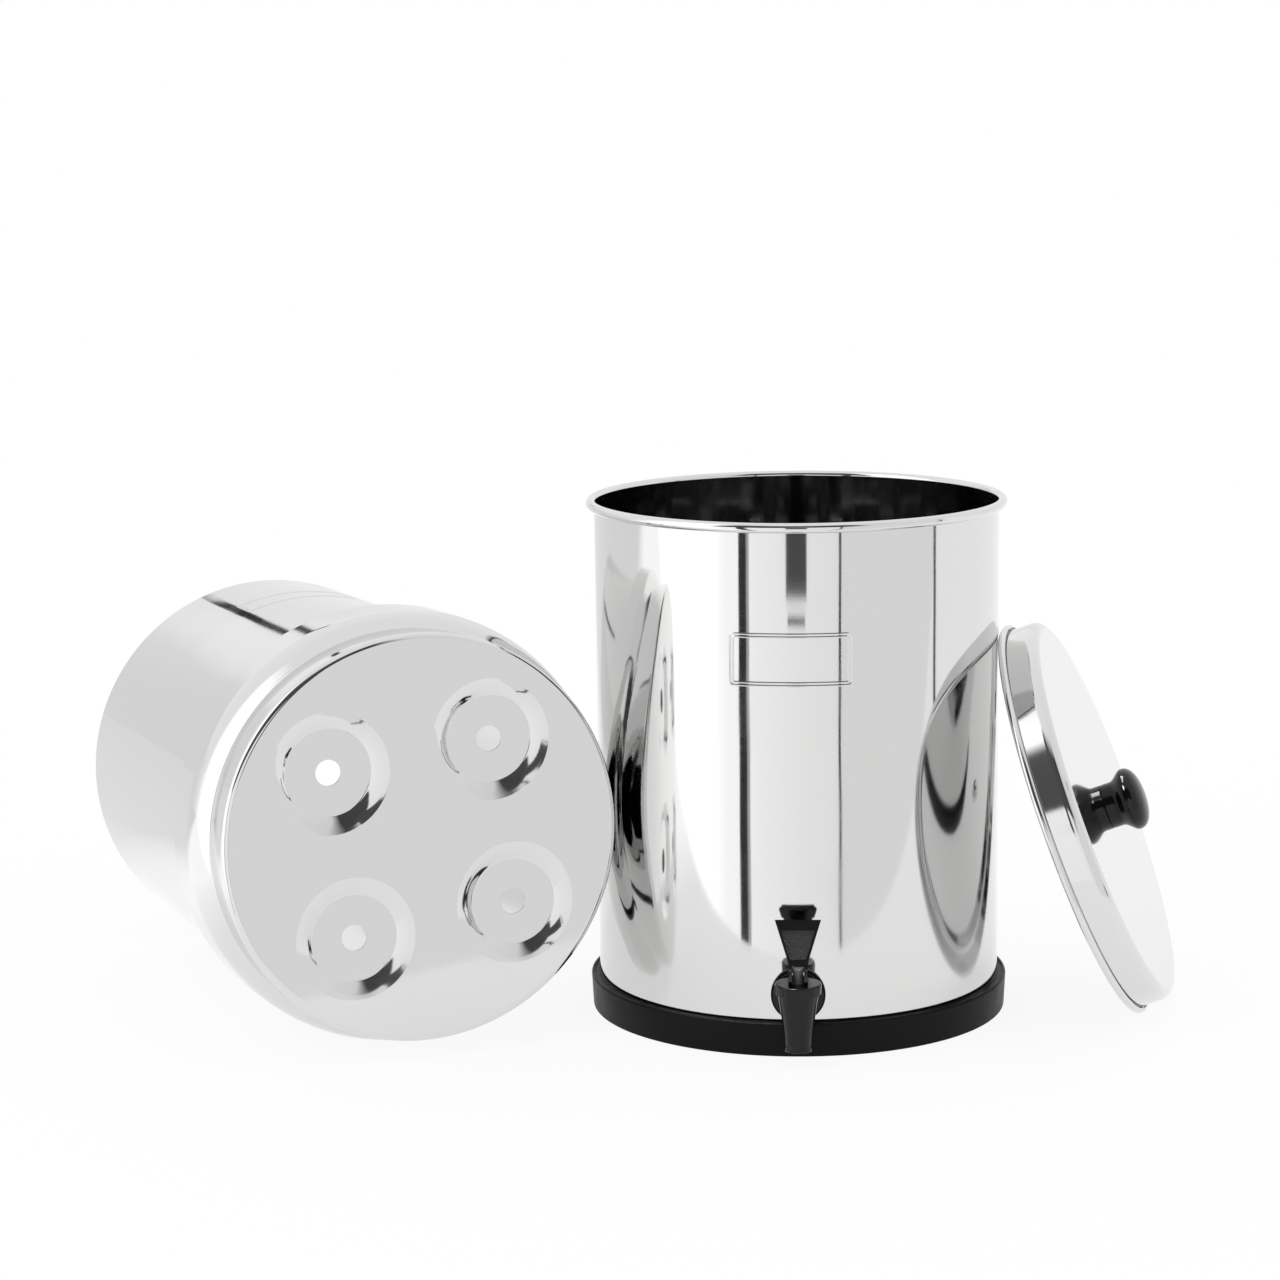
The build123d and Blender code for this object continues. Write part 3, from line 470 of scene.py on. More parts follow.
def feed(tree, socket, value):
    """Gives a socket a number, or links another node's output to it."""
    if isinstance(value, (int, float)):
        socket.default_value = value
    else:
        tree.links.new(value, socket)


def calc(tree, operation, a, b=0.0):
    """A Math node; a and b are sockets or numbers."""
    node = tree.nodes.new("ShaderNodeMath")
    node.operation = operation
    feed(tree, node.inputs[0], a)
    feed(tree, node.inputs[1], b)
    return node.outputs[0]


def separated(tree, vector):
    """The x, y and z of a vector."""
    parts = tree.nodes.new("ShaderNodeSeparateXYZ")
    tree.links.new(vector, parts.inputs[0])
    return parts.outputs


def object_place(tree):
    """Object coordinates, which are the shared frame's, in metres."""
    return tree.nodes.new("ShaderNodeTexCoord").outputs["Object"]


def local(tree, matrix):
    """Object coordinates taken into a piece's own frame, in metres."""
    back = matrix.inverted()
    mapping = tree.nodes.new("ShaderNodeMapping")
    mapping.inputs["Location"].default_value = back.translation * MM
    mapping.inputs["Rotation"].default_value = back.to_3x3().to_euler()
    tree.links.new(object_place(tree), mapping.inputs["Vector"])
    return mapping.outputs[0]


def noise(tree, where, scale, detail=2.0, rough=0.5):
    """Fractal noise about 0.5."""
    node = tree.nodes.new("ShaderNodeTexNoise")
    node.inputs["Scale"].default_value = scale
    node.inputs["Detail"].default_value = detail
    node.inputs["Roughness"].default_value = rough
    tree.links.new(where, node.inputs["Vector"])
    return node.outputs["Fac"]


def ranged(tree, value, low, high, from_low, from_high):
    """value taken from one range to another, and held at that range's ends."""
    node = tree.nodes.new("ShaderNodeMapRange")
    for socket, number in zip(node.inputs[1:5], (from_low, from_high, low, high)):
        socket.default_value = number
    tree.links.new(value, node.inputs[0])
    return node.outputs[0]


def blended(tree, share, low, high):
    """low where share is 0 and high where it is 1."""
    mix = tree.nodes.new("ShaderNodeMix")
    feed(tree, mix.inputs[0], share)
    feed(tree, mix.inputs[2], low)
    feed(tree, mix.inputs[3], high)
    return mix.outputs[0]


def mixed(tree, share, low, high):
    """The shader low where share is 0 and the shader high where it is 1."""
    mix = tree.nodes.new("ShaderNodeMixShader")
    for socket, output in zip(mix.inputs, (share, low, high)):
        tree.links.new(output, socket)
    return mix.outputs[0]


def bump(tree, height, strength, distance, onto=None):
    """A Bump node, on top of another one's normal if that is given."""
    node = tree.nodes.new("ShaderNodeBump")
    node.inputs["Strength"].default_value = strength
    node.inputs["Distance"].default_value = distance
    tree.links.new(height, node.inputs["Height"])
    if onto is not None:
        tree.links.new(onto, node.inputs["Normal"])
    return node.outputs[0]


# ------------------------------------------------------------------ finishes
STEEL_TONE = (0.70, 0.698, 0.695)
HARDWARE_TONE = (0.62, 0.61, 0.59)
PADDLE_TONE = (0.006, 0.006, 0.0065)
BUFFED_ROUND = 9.0  # buffing marks change this fast round a turned piece
BUFFED_ALONG = 2600.0  # and this fast along its skin


def spun(tree, where):
    """Coordinates for marks that run round a turned piece.

    They are x and y, which change slowly round it, and z plus the distance from its axis, which
    changes fast along its skin, on its sides as on its flat ends."""
    x, y, z = separated(tree, where)
    squares = calc(tree, "ADD", calc(tree, "MULTIPLY", x, x), calc(tree, "MULTIPLY", y, y))
    along = calc(tree, "ADD", z, calc(tree, "SQRT", squares))
    out = tree.nodes.new("ShaderNodeCombineXYZ")
    tree.links.new(calc(tree, "MULTIPLY", x, BUFFED_ROUND), out.inputs[0])
    tree.links.new(calc(tree, "MULTIPLY", y, BUFFED_ROUND), out.inputs[1])
    tree.links.new(calc(tree, "MULTIPLY", along, BUFFED_ALONG), out.inputs[2])
    return out.outputs[0]


def steel(name, matrix):
    """Mirror-polished drawn steel: faint buffing rings, soft waves in the sheet, wiped smudges.

    Its roughness is a smudge's, where coarse and fine noise are both high, plus the rings'."""
    material, tree, shader = shaded(name)
    where = local(tree, matrix)
    shader.inputs["Metallic"].default_value = 1.0
    shader.inputs["Base Color"].default_value = (*STEEL_TONE, 1)
    rings = noise(tree, spun(tree, where), scale=1.0, detail=3.0, rough=0.6)
    smudges = noise(tree, where, scale=16.0, detail=4.0, rough=0.6)
    patches = noise(tree, where, scale=5.0)
    cloud = calc(tree, "MULTIPLY", smudges, patches)
    wiped = ranged(tree, cloud, low=0.03, high=0.10, from_low=0.12, from_high=0.45)
    buffed = ranged(tree, rings, low=0.0, high=0.03, from_low=0.35, from_high=0.7)
    tree.links.new(calc(tree, "ADD", wiped, buffed), shader.inputs["Roughness"])
    sheet_waves = noise(tree, where, scale=9.0, detail=1.0)
    waves = bump(tree, sheet_waves, strength=0.35, distance=0.0012)
    marks = bump(tree, rings, strength=0.05, distance=0.00002, onto=waves)
    tree.links.new(marks, shader.inputs["Normal"])
    return material


def grained(name, tone, rough, grain_scale, grain, depth, spread=0.06, specular=0.5):
    """Moulded plastic or rubber: a fine grain in its surface and uneven gloss.

    The roughness wanders by the spread to either side; depth is the grain's, in metres."""
    material, tree, shader = shaded(name)
    where = object_place(tree)
    shader.inputs["Base Color"].default_value = (*tone, 1)
    shader.inputs["Specular IOR Level"].default_value = specular
    worn = noise(tree, where, scale=60.0, detail=4.0, rough=0.6)
    gloss = ranged(tree, worn, rough - spread, rough + spread, from_low=0.3, from_high=0.7)
    tree.links.new(gloss, shader.inputs["Roughness"])
    fine_grain = noise(tree, where, grain_scale, detail=3.0, rough=0.6)
    tree.links.new(bump(tree, fine_grain, grain, depth), shader.inputs["Normal"])
    return material


def hardware(name):
    """Bright turned hardware: fine lines and a duller skin than the chambers."""
    material, tree, shader = shaded(name)
    shader.inputs["Metallic"].default_value = 1.0
    shader.inputs["Base Color"].default_value = (*HARDWARE_TONE, 1)
    lines = noise(tree, object_place(tree), scale=900.0)
    dulled = ranged(tree, lines, low=0.2, high=0.34, from_low=0.3, from_high=0.7)
    tree.links.new(dulled, shader.inputs["Roughness"])
    tree.links.new(bump(tree, lines, strength=0.15, distance=0.00005), shader.inputs["Normal"])
    return material


def carbon(name):
    """Pressed carbon block: matt black with a coarse, pitted skin."""
    material, tree, shader = shaded(name)
    pits = noise(tree, object_place(tree), scale=700.0, detail=5.0, rough=0.7)
    tone = tree.nodes.new("ShaderNodeValToRGB")
    tone.color_ramp.elements[0].color = (0.008, 0.008, 0.008, 1)
    tone.color_ramp.elements[1].color = (0.035, 0.034, 0.033, 1)
    tree.links.new(pits, tone.inputs[0])
    tree.links.new(tone.outputs[0], shader.inputs["Base Color"])
    shader.inputs["Roughness"].default_value = 0.85
    tree.links.new(bump(tree, pits, strength=0.6, distance=0.0006), shader.inputs["Normal"])
    return material


def paddle(name):
    """The lever's glossy black plastic, stippled only in its recessed front panel.

    In the lever's own frame x runs across it, y up from the pin and z out of its face. The panel
    is where y is between its foot and the top band and |x| is less than its half-width there."""
    material, tree, shader = shaded(name)
    where = local(tree, LEVER)
    x, y, z = separated(tree, where)
    half_at_pin = (PANEL_HALF - PANEL_FOOT * PANEL_WIDENING) * MM
    half = calc(tree, "ADD", calc(tree, "MULTIPLY", y, PANEL_WIDENING), half_at_pin)
    inside = calc(tree, "LESS_THAN", calc(tree, "ABSOLUTE", x), half)
    above = calc(tree, "GREATER_THAN", y, PANEL_FOOT * MM)
    below = calc(tree, "LESS_THAN", y, PANEL_TOP * MM)
    front = calc(tree, "GREATER_THAN", z, 0.0)
    tall = calc(tree, "MULTIPLY", above, below)
    panel = calc(tree, "MULTIPLY", calc(tree, "MULTIPLY", inside, tall), front)
    shader.inputs["Base Color"].default_value = (*PADDLE_TONE, 1)
    worn = noise(tree, where, scale=60.0, detail=4.0, rough=0.6)
    gloss = ranged(tree, worn, low=0.12, high=0.2, from_low=0.3, from_high=0.7)
    tree.links.new(blended(tree, panel, gloss, 0.3), shader.inputs["Roughness"])
    stipple = calc(tree, "MULTIPLY", noise(tree, where, scale=1500.0), panel)
    tree.links.new(bump(tree, stipple, strength=1.0, distance=0.0015), shader.inputs["Normal"])
    return material


LOWER_STEEL = steel("polished_steel_lower", STAND)
UPPER_STEEL = steel("polished_steel_upper", UPPER)
LID_STEEL = steel("polished_steel_lid", LID)
RUBBER = grained(
    "black_rubber", (0.006, 0.006, 0.006), rough=0.4,
    grain_scale=900.0, grain=0.2, depth=0.00008, specular=0.09,
)
BLACK = grained(
    "black_plastic", (0.006, 0.006, 0.0063), rough=0.16,
    grain_scale=900.0, grain=0.04, depth=0.00003, spread=0.04, specular=0.27,
)
KNOB = grained(
    "knob_plastic", (0.003, 0.003, 0.0035), rough=0.06,
    grain_scale=300.0, grain=0.02, depth=0.00003, spread=0.025, specular=0.33,
)
GREY = grained(
    "grey_plastic", (0.085, 0.087, 0.09), rough=0.34,
    grain_scale=1200.0, grain=0.1, depth=0.00005,
)
SILICONE = grained(
    "silicone", (0.62, 0.62, 0.6), rough=0.42,
    grain_scale=700.0, grain=0.1, depth=0.00005,
)
HARDWARE = hardware("steel_hardware")
PADDLE = paddle("paddle_plastic")
CARBON = carbon("carbon")
CAP = grained(
    "cap_plastic", (0.02, 0.02, 0.022), rough=0.4,
    grain_scale=1100.0, grain=0.2, depth=0.0001,
)


# ------------------------------------------------------------------ lower chamber and its ring
def lower_wall_radius(height):
    """The lower chamber's wall is straight."""
    return np.full_like(height, WALL_R)


def lower_chamber():
    """Outside, round the rolled bead, and down the inside, as one turned skin."""
    roll_z = LOWER_TOP - LOWER_ROLL_R
    outside = rounded([(0, FLOOR_Z), (WALL_R, FLOOR_Z), (WALL_R, roll_z)], [LOWER_CORNER_R])
    bead = (WALL_R - SHEET + LOWER_ROLL_R, roll_z)
    under = arc(bead, LOWER_ROLL_R - SHEET, 180, -90, steps=20)[1:]
    over = arc(bead, LOWER_ROLL_R, -90, 180, steps=40)
    inner_r, inner_z = WALL_R - SHEET, FLOOR_Z + SHEET
    inside = rounded(
        [(inner_r, roll_z), (inner_r, inner_z), (0, inner_z)], [LOWER_CORNER_R - SHEET]
    )
    profile = fine(np.concatenate([outside, under, over, inside[1:]]), step=9.0)
    parts = [turned(profile, STAND, segments=384)]
    parts += badge_frame(lower_wall_radius, STAND, -pi / 2 + BADGE_SHIFT / WALL_R, BADGE_Z)
    return build(
        "lower_chamber_skin", parts, "stand", LOWER_STEEL, "lower_chamber"
    )


def base_ring():
    """The turned rubber ring, with softened edges and a small lip round its top."""
    top_r = WALL_R + RING_WALL
    lip_r = top_r - RING_LIP
    lip_z = RING_HEIGHT - RING_LIP_DROP
    bore_r = WALL_R + CURVED_SEAT
    seat_r = WALL_R - RING_SEAT
    outline = rounded(
        [
            (RING_START_R, 0), (top_r - RING_DRAFT, 0), (top_r, RING_HEIGHT),
            (lip_r, RING_HEIGHT), (lip_r, lip_z), (bore_r, lip_z), (bore_r, FLOOR_Z),
            (seat_r, FLOOR_Z), (seat_r, 0), (RING_START_R, 0),
        ],
        radii=[0.8, 1.2, 0.3, 0.2, 0.2, 0.2, 0.6, 0.6],
        steps=6,
    )
    parts = [turned(fine(outline[:-1], step=3.0), STAND, segments=320, closed=True)]
    return build("base_ring_skin", parts, "stand", RUBBER, "base_ring")


# ------------------------------------------------------------------ upper chamber
def upper_side(inset):
    """The cup's side from the edge of its floor to its bead, moved in by the inset.

    From the neck a shoulder curves out to the ridge and meets it upright: it is an arc of radius
    (dr squared + dz squared) / (2 dr), dr and dz being the way out and along to the ridge."""
    corner = NECK_LENGTH + inset / 2
    neck_r, ridge_r = NECK_R - inset, RIDGE_R - inset
    neck = rounded([(EDGE_R, inset), (neck_r, inset), (neck_r, corner)], [UPPER_CORNER_R - inset])
    dr, dz = RIDGE_R - NECK_R, RIDGE_NEAR - corner
    shoulder_r = (dr**2 + dz**2) / (2 * dr)
    start = -degrees(asin(dz / shoulder_r))
    shoulder = arc((ridge_r - shoulder_r, RIDGE_NEAR), shoulder_r, start, 0, steps=16)
    step_turn = atan2(RIDGE_R - BODY_R, RIDGE_STEP_RUN)
    step_z = RIDGE_FAR - inset * tan(step_turn / 2)
    body = rounded(
        [
            (ridge_r, RIDGE_NEAR), (ridge_r, step_z),
            (BODY_R - inset, step_z + RIDGE_STEP_RUN), (RIM_R - inset, UPPER_LENGTH - UPPER_ROLL_R),
        ],
        [RIDGE_STEP_R - inset, RIDGE_STEP_R + inset],
    )
    return np.concatenate([neck, shoulder, body[1:]])


def upper_wall_radius(height):
    """The upper chamber's body narrows evenly from its ridge to its rim."""
    return BODY_R + (RIM_R - BODY_R) * (height - RIDGE_FAR) / (UPPER_LENGTH - RIDGE_FAR)


shoulder_depth = DISH_DEPTH - (DISH_SHOULDER_R - DISH_R) * tan(radians(DISH_STEEP))
rim_slope = atan2(shoulder_depth, DISH_RIM_R - DISH_SHOULDER_R)
DISH_REACH = DISH_RIM_R + DISH_BLENDS[-1] * tan(rim_slope / 2) + SHEET / 2


def dish_skin(drop):
    """A dish's profile from its hole out to the flat floor, on the sheet's side at this drop."""
    return rounded(
        [
            (HOLE_R, DISH_DEPTH + drop), (DISH_R, DISH_DEPTH + drop),
            (DISH_SHOULDER_R, shoulder_depth + drop), (DISH_RIM_R, drop), (DISH_REACH, drop),
        ],
        radii=DISH_BLENDS,
        steps=7,
    )


def dish():
    """A dish's whole profile: in along its inner skin, over the hole's edge and out again."""
    outer, inner = dish_skin(0.0), dish_skin(SHEET)
    hole_edge = rounded(
        [inner[1], (HOLE_R, inner[0][1]), (HOLE_R, outer[0][1]), outer[1]],
        radii=[HOLE_EDGE_R, HOLE_EDGE_R],
        steps=4,
    )
    profile = np.concatenate([inner[:0:-1], hole_edge[1:-1], outer[1:]])
    return fine(profile, step=6.0, hold=0.5)


def upper_chamber():
    """The drawn cup: side and inward bead as one turned skin, flat floor, dishes and badge."""
    bead = (RIM_R - UPPER_ROLL_R, UPPER_LENGTH - UPPER_ROLL_R)
    over = arc(bead, UPPER_ROLL_R, 0, 270, steps=36)[1:]
    under = arc(bead, UPPER_ROLL_R - SHEET, 270, 0, steps=20)[:-1]
    profile = np.concatenate([upper_side(0.0), over, under, upper_side(SHEET)[::-1]])
    parts = [turned(fine(profile, step=12.0, hold=0.45), UPPER, segments=300)]
    a = radians(-HOLE_START) + 2 * pi / HOLE_COUNT * np.arange(HOLE_COUNT)
    middles = HOLE_PITCH_R * np.stack([np.cos(a), np.sin(a)], 1)
    for x, y in middles:
        parts.append(turned(dish(), UPPER @ Matrix.Translation((x, y, 0)), segments=96))
    parts.append(holed_plane(0.0, middles, DISH_REACH, up=False))
    parts.append(holed_plane(SHEET, middles, DISH_REACH, up=True))
    badge_middle = UPPER_LENGTH - BADGE_DEPTH
    parts += badge_frame(upper_wall_radius, UPPER, -radians(BADGE_TURN), badge_middle)
    return build(
        "upper_chamber_skin", parts, "upper", UPPER_STEEL, "upper_chamber"
    )


# ------------------------------------------------------------------ lid and knob
def lid():
    """The lid's flat top, skirt and outward bead, inside and out, as one turned skin."""
    outside = rounded([(0, LID_HEIGHT), (SKIRT_R, LID_HEIGHT), (SKIRT_R, 0)], [LID_CORNER_R])
    bead = (SKIRT_R - LID_SHEET + LID_ROLL_R, 0)
    under = arc(bead, LID_ROLL_R - LID_SHEET, 180, 450, steps=24)[1:]
    over = arc(bead, LID_ROLL_R, 90, -180, steps=40)
    inner_r, inner_z = SKIRT_R - LID_SHEET, LID_HEIGHT - LID_SHEET
    inside = rounded(
        [(inner_r, 0), (inner_r, inner_z), (0, inner_z)], [LID_CORNER_R - LID_SHEET]
    )
    profile = fine(np.concatenate([outside, under, over, inside[1:]]), step=3.0)
    parts = [turned(profile[::-1], LID, segments=384)]
    return build("lid_skin", parts, "lid", LID_STEEL, "lid")


def lid_knob():
    """A glossy mushroom knob: short straight foot, smooth flare, full domed crown.

    The flare's radius eases from the foot's to the widest by t squared (3 - 2t) as its height
    grows evenly. The crown is a cubic Bezier curve whose two handles are as long as the fullness
    times its own height and radius."""
    foot = rounded(
        [(0, 0), (KNOB_BASE_R, 0), (KNOB_BASE_R, KNOB_BASE_HEIGHT)],
        radii=[KNOB_BASE_EDGE_R],
        steps=6,
    )
    t = np.linspace(0, 1, 25)
    flare = np.stack(
        [
            KNOB_BASE_R + (KNOB_R - KNOB_BASE_R) * t * t * (3 - 2 * t),
            KNOB_BASE_HEIGHT + (KNOB_WIDEST - KNOB_BASE_HEIGHT) * t,
        ],
        1,
    )
    start, end = np.array((KNOB_R, KNOB_WIDEST)), np.array((0, KNOB_HEIGHT))
    up = np.array((0, CROWN_FULLNESS * (KNOB_HEIGHT - KNOB_WIDEST)))
    out = np.array((CROWN_FULLNESS * KNOB_R, 0))
    s = np.linspace(0, 1, 41)[:, None]
    crown = (
        (1 - s) ** 3 * start + 3 * s * (1 - s) ** 2 * (start + up)
        + 3 * s**2 * (1 - s) * (end + out) + s**3 * end
    )
    profile = fine(np.concatenate([foot, flare[1:], crown[1:]]), step=1.5, hold=0.1)
    parts = [turned(profile, LID_FACE, segments=192)]
    return build("lid_knob_skin", parts, "lid", KNOB, "lid_knob")


# ------------------------------------------------------------------ tap
def tap_body():
    """Spout, waist and neck turned about the tap's axis, with its arm, flange and shank.

    From the spout to the bonnet the radius is the parabola in height through the spout's top,
    the waist and the shoulder."""
    spout = rounded(
        [
            (SPOUT_BORE_R, SPOUT_Z), (SPOUT_LIP_R, SPOUT_Z),
            (SPOUT_LIP_R, SPOUT_Z + SPOUT_LIP), (SPOUT_R, SPOUT_TOP_Z),
        ],
        radii=[0.35, 0.5],
        steps=5,
    )
    waist = np.polyfit(
        (SPOUT_TOP_Z, TAP_WAIST_Z, BONNET_Z), (SPOUT_R, TAP_WAIST_R, TAP_SHOULDER_R), 2
    )
    z = np.linspace(SPOUT_TOP_Z, BONNET_Z, 30)
    side = np.stack([np.polyval(waist, z), z], 1)
    neck = rounded(
        [
            (TAP_SHOULDER_R, BONNET_Z), (NECK_THREAD_R, BONNET_Z),
            (NECK_THREAD_R, NECK_THREAD_TOP), (CAVITY_R, NECK_THREAD_TOP), (CAVITY_R, SEAT_Z),
            (SEAT_BORE_R, SEAT_Z), (SPOUT_BORE_R, SPOUT_Z),
        ],
        radii=[0.1, 0.2, 0.2, 0.3, 0.2],
        steps=4,
    )
    upright = fine(np.concatenate([spout, side[1:], neck[1:-1]]), step=1.5, hold=0.15)
    arm = rounded(
        [
            (0, 0), (ARM_R, 0), (ARM_R, FLANGE_BACK - FLANGE), (FLANGE_R, FLANGE_BACK - FLANGE),
            (FLANGE_R, FLANGE_BACK), (SHANK_R, FLANGE_BACK), (SHANK_R, SHANK_END),
            (SHANK_BORE_R, SHANK_END),
        ],
        radii=[0.3, 1.6, 0.5, 0.2, 0.2, 0.3],
        steps=5,
    )
    arm[0] = (0, ARM_HOLLOW)
    bore = rounded(
        [(SHANK_BORE_R, SHANK_END), (SHANK_BORE_R, SHANK_BORE_END), (0, SHANK_BORE_END)],
        radii=[0.3],
        steps=4,
    )
    level = fine(np.concatenate([arm, bore[1:]]), step=2.0, hold=0.15)
    parts = [turned(upright, TAP, segments=160, closed=True), turned(level, SHANK, segments=128)]
    return build("tap_body_skin", parts, "stand", BLACK, "tap_body")


def grips(angle, radius, height):
    """The bonnet's radius with its moulded grips.

    Each is a rounded rib: its rise times 1 - (off / half its width) squared, off being the way
    round from its middle, on the skirt and fading out at its top."""
    pitch = 2 * pi / GRIP_COUNT
    turn = (angle - radians(GRIP_START)) / pitch
    off = (turn - np.round(turn)) * pitch * BONNET_SKIRT_R
    rise = GRIP_RISE * np.clip(1 - (off / GRIP_HALF) ** 2, 0, None)
    outside = np.clip((radius - BONNET_SKIRT_R + GRIP_ROOT) / GRIP_ROOT, 0, 1)
    below_top = np.clip((GRIP_TOP - height) / GRIP_FADE, 0, 1)
    return radius + rise * outside * below_top


def tap_bonnet():
    """The screwed cap, with moulded grips round its skirt."""
    bore_r = STEM_R + RUNNING_FIT
    thread_r = NECK_THREAD_R + RUNNING_FIT
    roof_z = BONNET_TOP - BONNET_ROOF
    outline = rounded(
        [
            (BONNET_START_R, BONNET_Z), (BONNET_SKIRT_R, BONNET_Z), (BONNET_R, BONNET_TOP),
            (bore_r, BONNET_TOP), (bore_r, roof_z), (thread_r, roof_z), (thread_r, BONNET_Z),
            (BONNET_START_R, BONNET_Z),
        ],
        radii=[0.25, BONNET_EDGE_R, 0.3, 0.2, 0.2, 0.2],
        steps=6,
    )
    profile = fine(outline[:-1], step=0.8, hold=0.1)
    parts = [turned(profile, TAP, segments=640, closed=True, warp=grips)]
    return build("tap_bonnet_skin", parts, "stand", BLACK, "tap_bonnet")


lower_chamber()
ring_skin = base_ring()
upper_chamber()
lid()
knob_skin = lid_knob()
body_skin = tap_body()
bonnet_skin = tap_bonnet()


# ------------------------------------------------------------------ CAD nodes that stay
def finish_nodes(names, material, bevel=0.0):
    """Gives CAD nodes their finish, and a fine rounding in millimetres on their edges."""
    for name in names:
        node = NODES[name]
        node.data.materials.clear()
        node.data.materials.append(material)
        if bevel:
            edge = node.modifiers.new("edge", "BEVEL")
            edge.width = bevel * MM
            edge.segments = 3
            edge.limit_method = "ANGLE"
            edge.angle_limit = radians(35)
            edge.harden_normals = True


elements = range(1, HOLE_COUNT + 1)
finish_nodes(["tap_lever"], PADDLE, 0.45)
finish_nodes(["tap_stem"], GREY, 0.2)
finish_nodes(["tap_lever_pin", "lid_screw", "lid_washer"], HARDWARE, 0.15)
finish_nodes(["tap_seat_cup"], SILICONE)
finish_nodes(["tap_outer_washer", "tap_inner_washer"], RUBBER, 0.2)
finish_nodes(["tap_nut"], BLACK, 0.3)
finish_nodes([f"filter_element_{k}" for k in elements], CARBON)
finish_nodes([f"element_cap_{k}" for k in elements], CAP, 0.3)
finish_nodes([f"element_washer_{k}" for k in elements], RUBBER, 0.3)
finish_nodes([f"wing_nut_{k}" for k in elements], CAP, 0.3)


# ------------------------------------------------------------------ studio, in metres
TABLE_HALF = 6.0
TABLE_FRONT = -0.333  # where the table ends in front; polished steel shows the room beyond it
TABLE_TONE = (0.95, 0.95, 0.95)
SHADE_REACH = (0.45, 0.9)  # from the object, where its faint shade on the floor fades out
SHADE_HIDDEN = 0.9  # near the object the camera sees this share of plain white, the rest shaded
MIRRORED_PLAIN = 0.7  # the same share in reflections
MIRRORED = 1.1  # how bright the floor is in reflections
MIRRORED_AHEAD = 1.45  # how bright it is there to the left of the object, a painted pool of light
MIRRORED_BEHIND = 0.86  # and to the left and behind, painted shade
LEFT_OF_OBJECT = (-0.6, -0.4)  # x between which the left side fades out
BEHIND_OBJECT = (0.1, 0.3)  # y between which the rear fades in

# Brightness of the room round the object as polished steel shows it, by bearing in degrees
# from straight ahead (-Y), positive towards +X: below and at the horizon, then above it.
ROOM_LOW = (
    (-180, 0.93), (-156, 0.92), (-143, 0.84), (-134, 0.84), (-122, 0.9), (-112, 0.94),
    (-98, 1.08), (-84, 1.5), (-48, 1.5), (-40, 1.3), (-30, 1.3), (-24, 1.18), (-20, 1.16),
    (4, 1.07), (22, 1.02), (26, 0.92), (60, 0.92), (87, 0.92), (90, 1.08), (104, 1.04),
    (122, 0.96), (150, 1.0), (180, 0.93),
)
ROOM_HIGH = (
    (-180, 1.04), (-95, 1.04), (-84, 1.6), (-50, 1.6), (-44, 0.1), (34, 0.06),
    (44, 0.85), (88, 0.95), (180, 1.04),
)
# Dark gaps between the panels: bearing, width, brightness.
ROOM_GAPS = ((-30.4, 4.4, 0.04), (-27.4, 1.6, 0.45), (24.1, 1.3, 0.02))
HIGH_BAND = (12.0, 14.0)  # degrees above the horizon between which low turns into high
HIGH_LIFT = 7.0  # that band is this much higher from straight ahead to the right
HIGH_LIFT_FROM = -20.0  # and starts to rise at this bearing
CEILING_BAND = (52.0, 66.0)
CEILING = 1.0


def by_bearing(tree, bearing, stops):
    """Brightness read from (bearing, brightness) stops with straight runs between them."""
    curve = tree.nodes.new("ShaderNodeFloatCurve")
    line = curve.mapping.curves[0]
    brightest = max(level for _, level in stops)
    points = [((turn + 180) / 360, level / brightest) for turn, level in stops]
    line.points[0].location, line.points[-1].location = points[0], points[-1]
    for at in points[1:-1]:
        line.points.new(*at)
    for point in line.points:
        point.handle_type = "VECTOR"
    curve.mapping.update()
    tree.links.new(ranged(tree, bearing, 0.0, 1.0, -pi, pi), curve.inputs["Value"])
    return calc(tree, "MULTIPLY", curve.outputs[0], brightest)


def room_seen(tree, direction):
    """The room's brightness in a direction (x, y, z) of length 1.

    The bearing is the angle of (x, -y), the height is the arc sine of z. Pale panels and soft
    boxes with dark gaps stand round the table, a dark room lies in front above the horizon, and
    a grey ceiling is over all of it."""
    x, y, z = separated(tree, direction)
    bearing = calc(tree, "ARCTAN2", x, calc(tree, "MULTIPLY", y, -1.0))
    height = calc(tree, "MULTIPLY", calc(tree, "ARCSINE", z), degrees(1))
    low = by_bearing(tree, bearing, ROOM_LOW)
    for at, width, level in ROOM_GAPS:
        off = calc(tree, "ABSOLUTE", calc(tree, "SUBTRACT", bearing, radians(at)))
        low = blended(tree, calc(tree, "LESS_THAN", off, radians(width / 2)), low, level)
    high = by_bearing(tree, bearing, ROOM_HIGH)
    lift = ranged(tree, bearing, 0.0, HIGH_LIFT, radians(HIGH_LIFT_FROM), 0.0)
    rise = ranged(tree, calc(tree, "SUBTRACT", height, lift), 0.0, 1.0, *HIGH_BAND)
    top = ranged(tree, height, 0.0, 1.0, *CEILING_BAND)
    return blended(tree, top, blended(tree, rise, low, high), CEILING)


def room():
    """The world: plain white light, white to the camera, and for reflections a studio."""
    world = bpy.data.worlds.new("studio")
    bpy.context.scene.world = world
    world.use_nodes = True
    tree = world.node_tree
    direction = tree.nodes.new("ShaderNodeTexCoord").outputs["Generated"]
    path = tree.nodes.new("ShaderNodeLightPath")
    seen = blended(tree, path.outputs["Is Glossy Ray"], 1.0, room_seen(tree, direction))
    back = tree.nodes["Background"]
    back.inputs["Color"].default_value = (1, 1, 1, 1)
    tree.links.new(seen, back.inputs["Strength"])


def staged(name, points, faces, material):
    """A stage piece from plain points and faces."""
    mesh = bpy.data.meshes.new(name)
    mesh.from_pydata(points, [], faces)
    mesh.materials.append(material)
    piece = bpy.data.objects.new(name, mesh)
    bpy.context.scene.collection.objects.link(piece)
    return piece


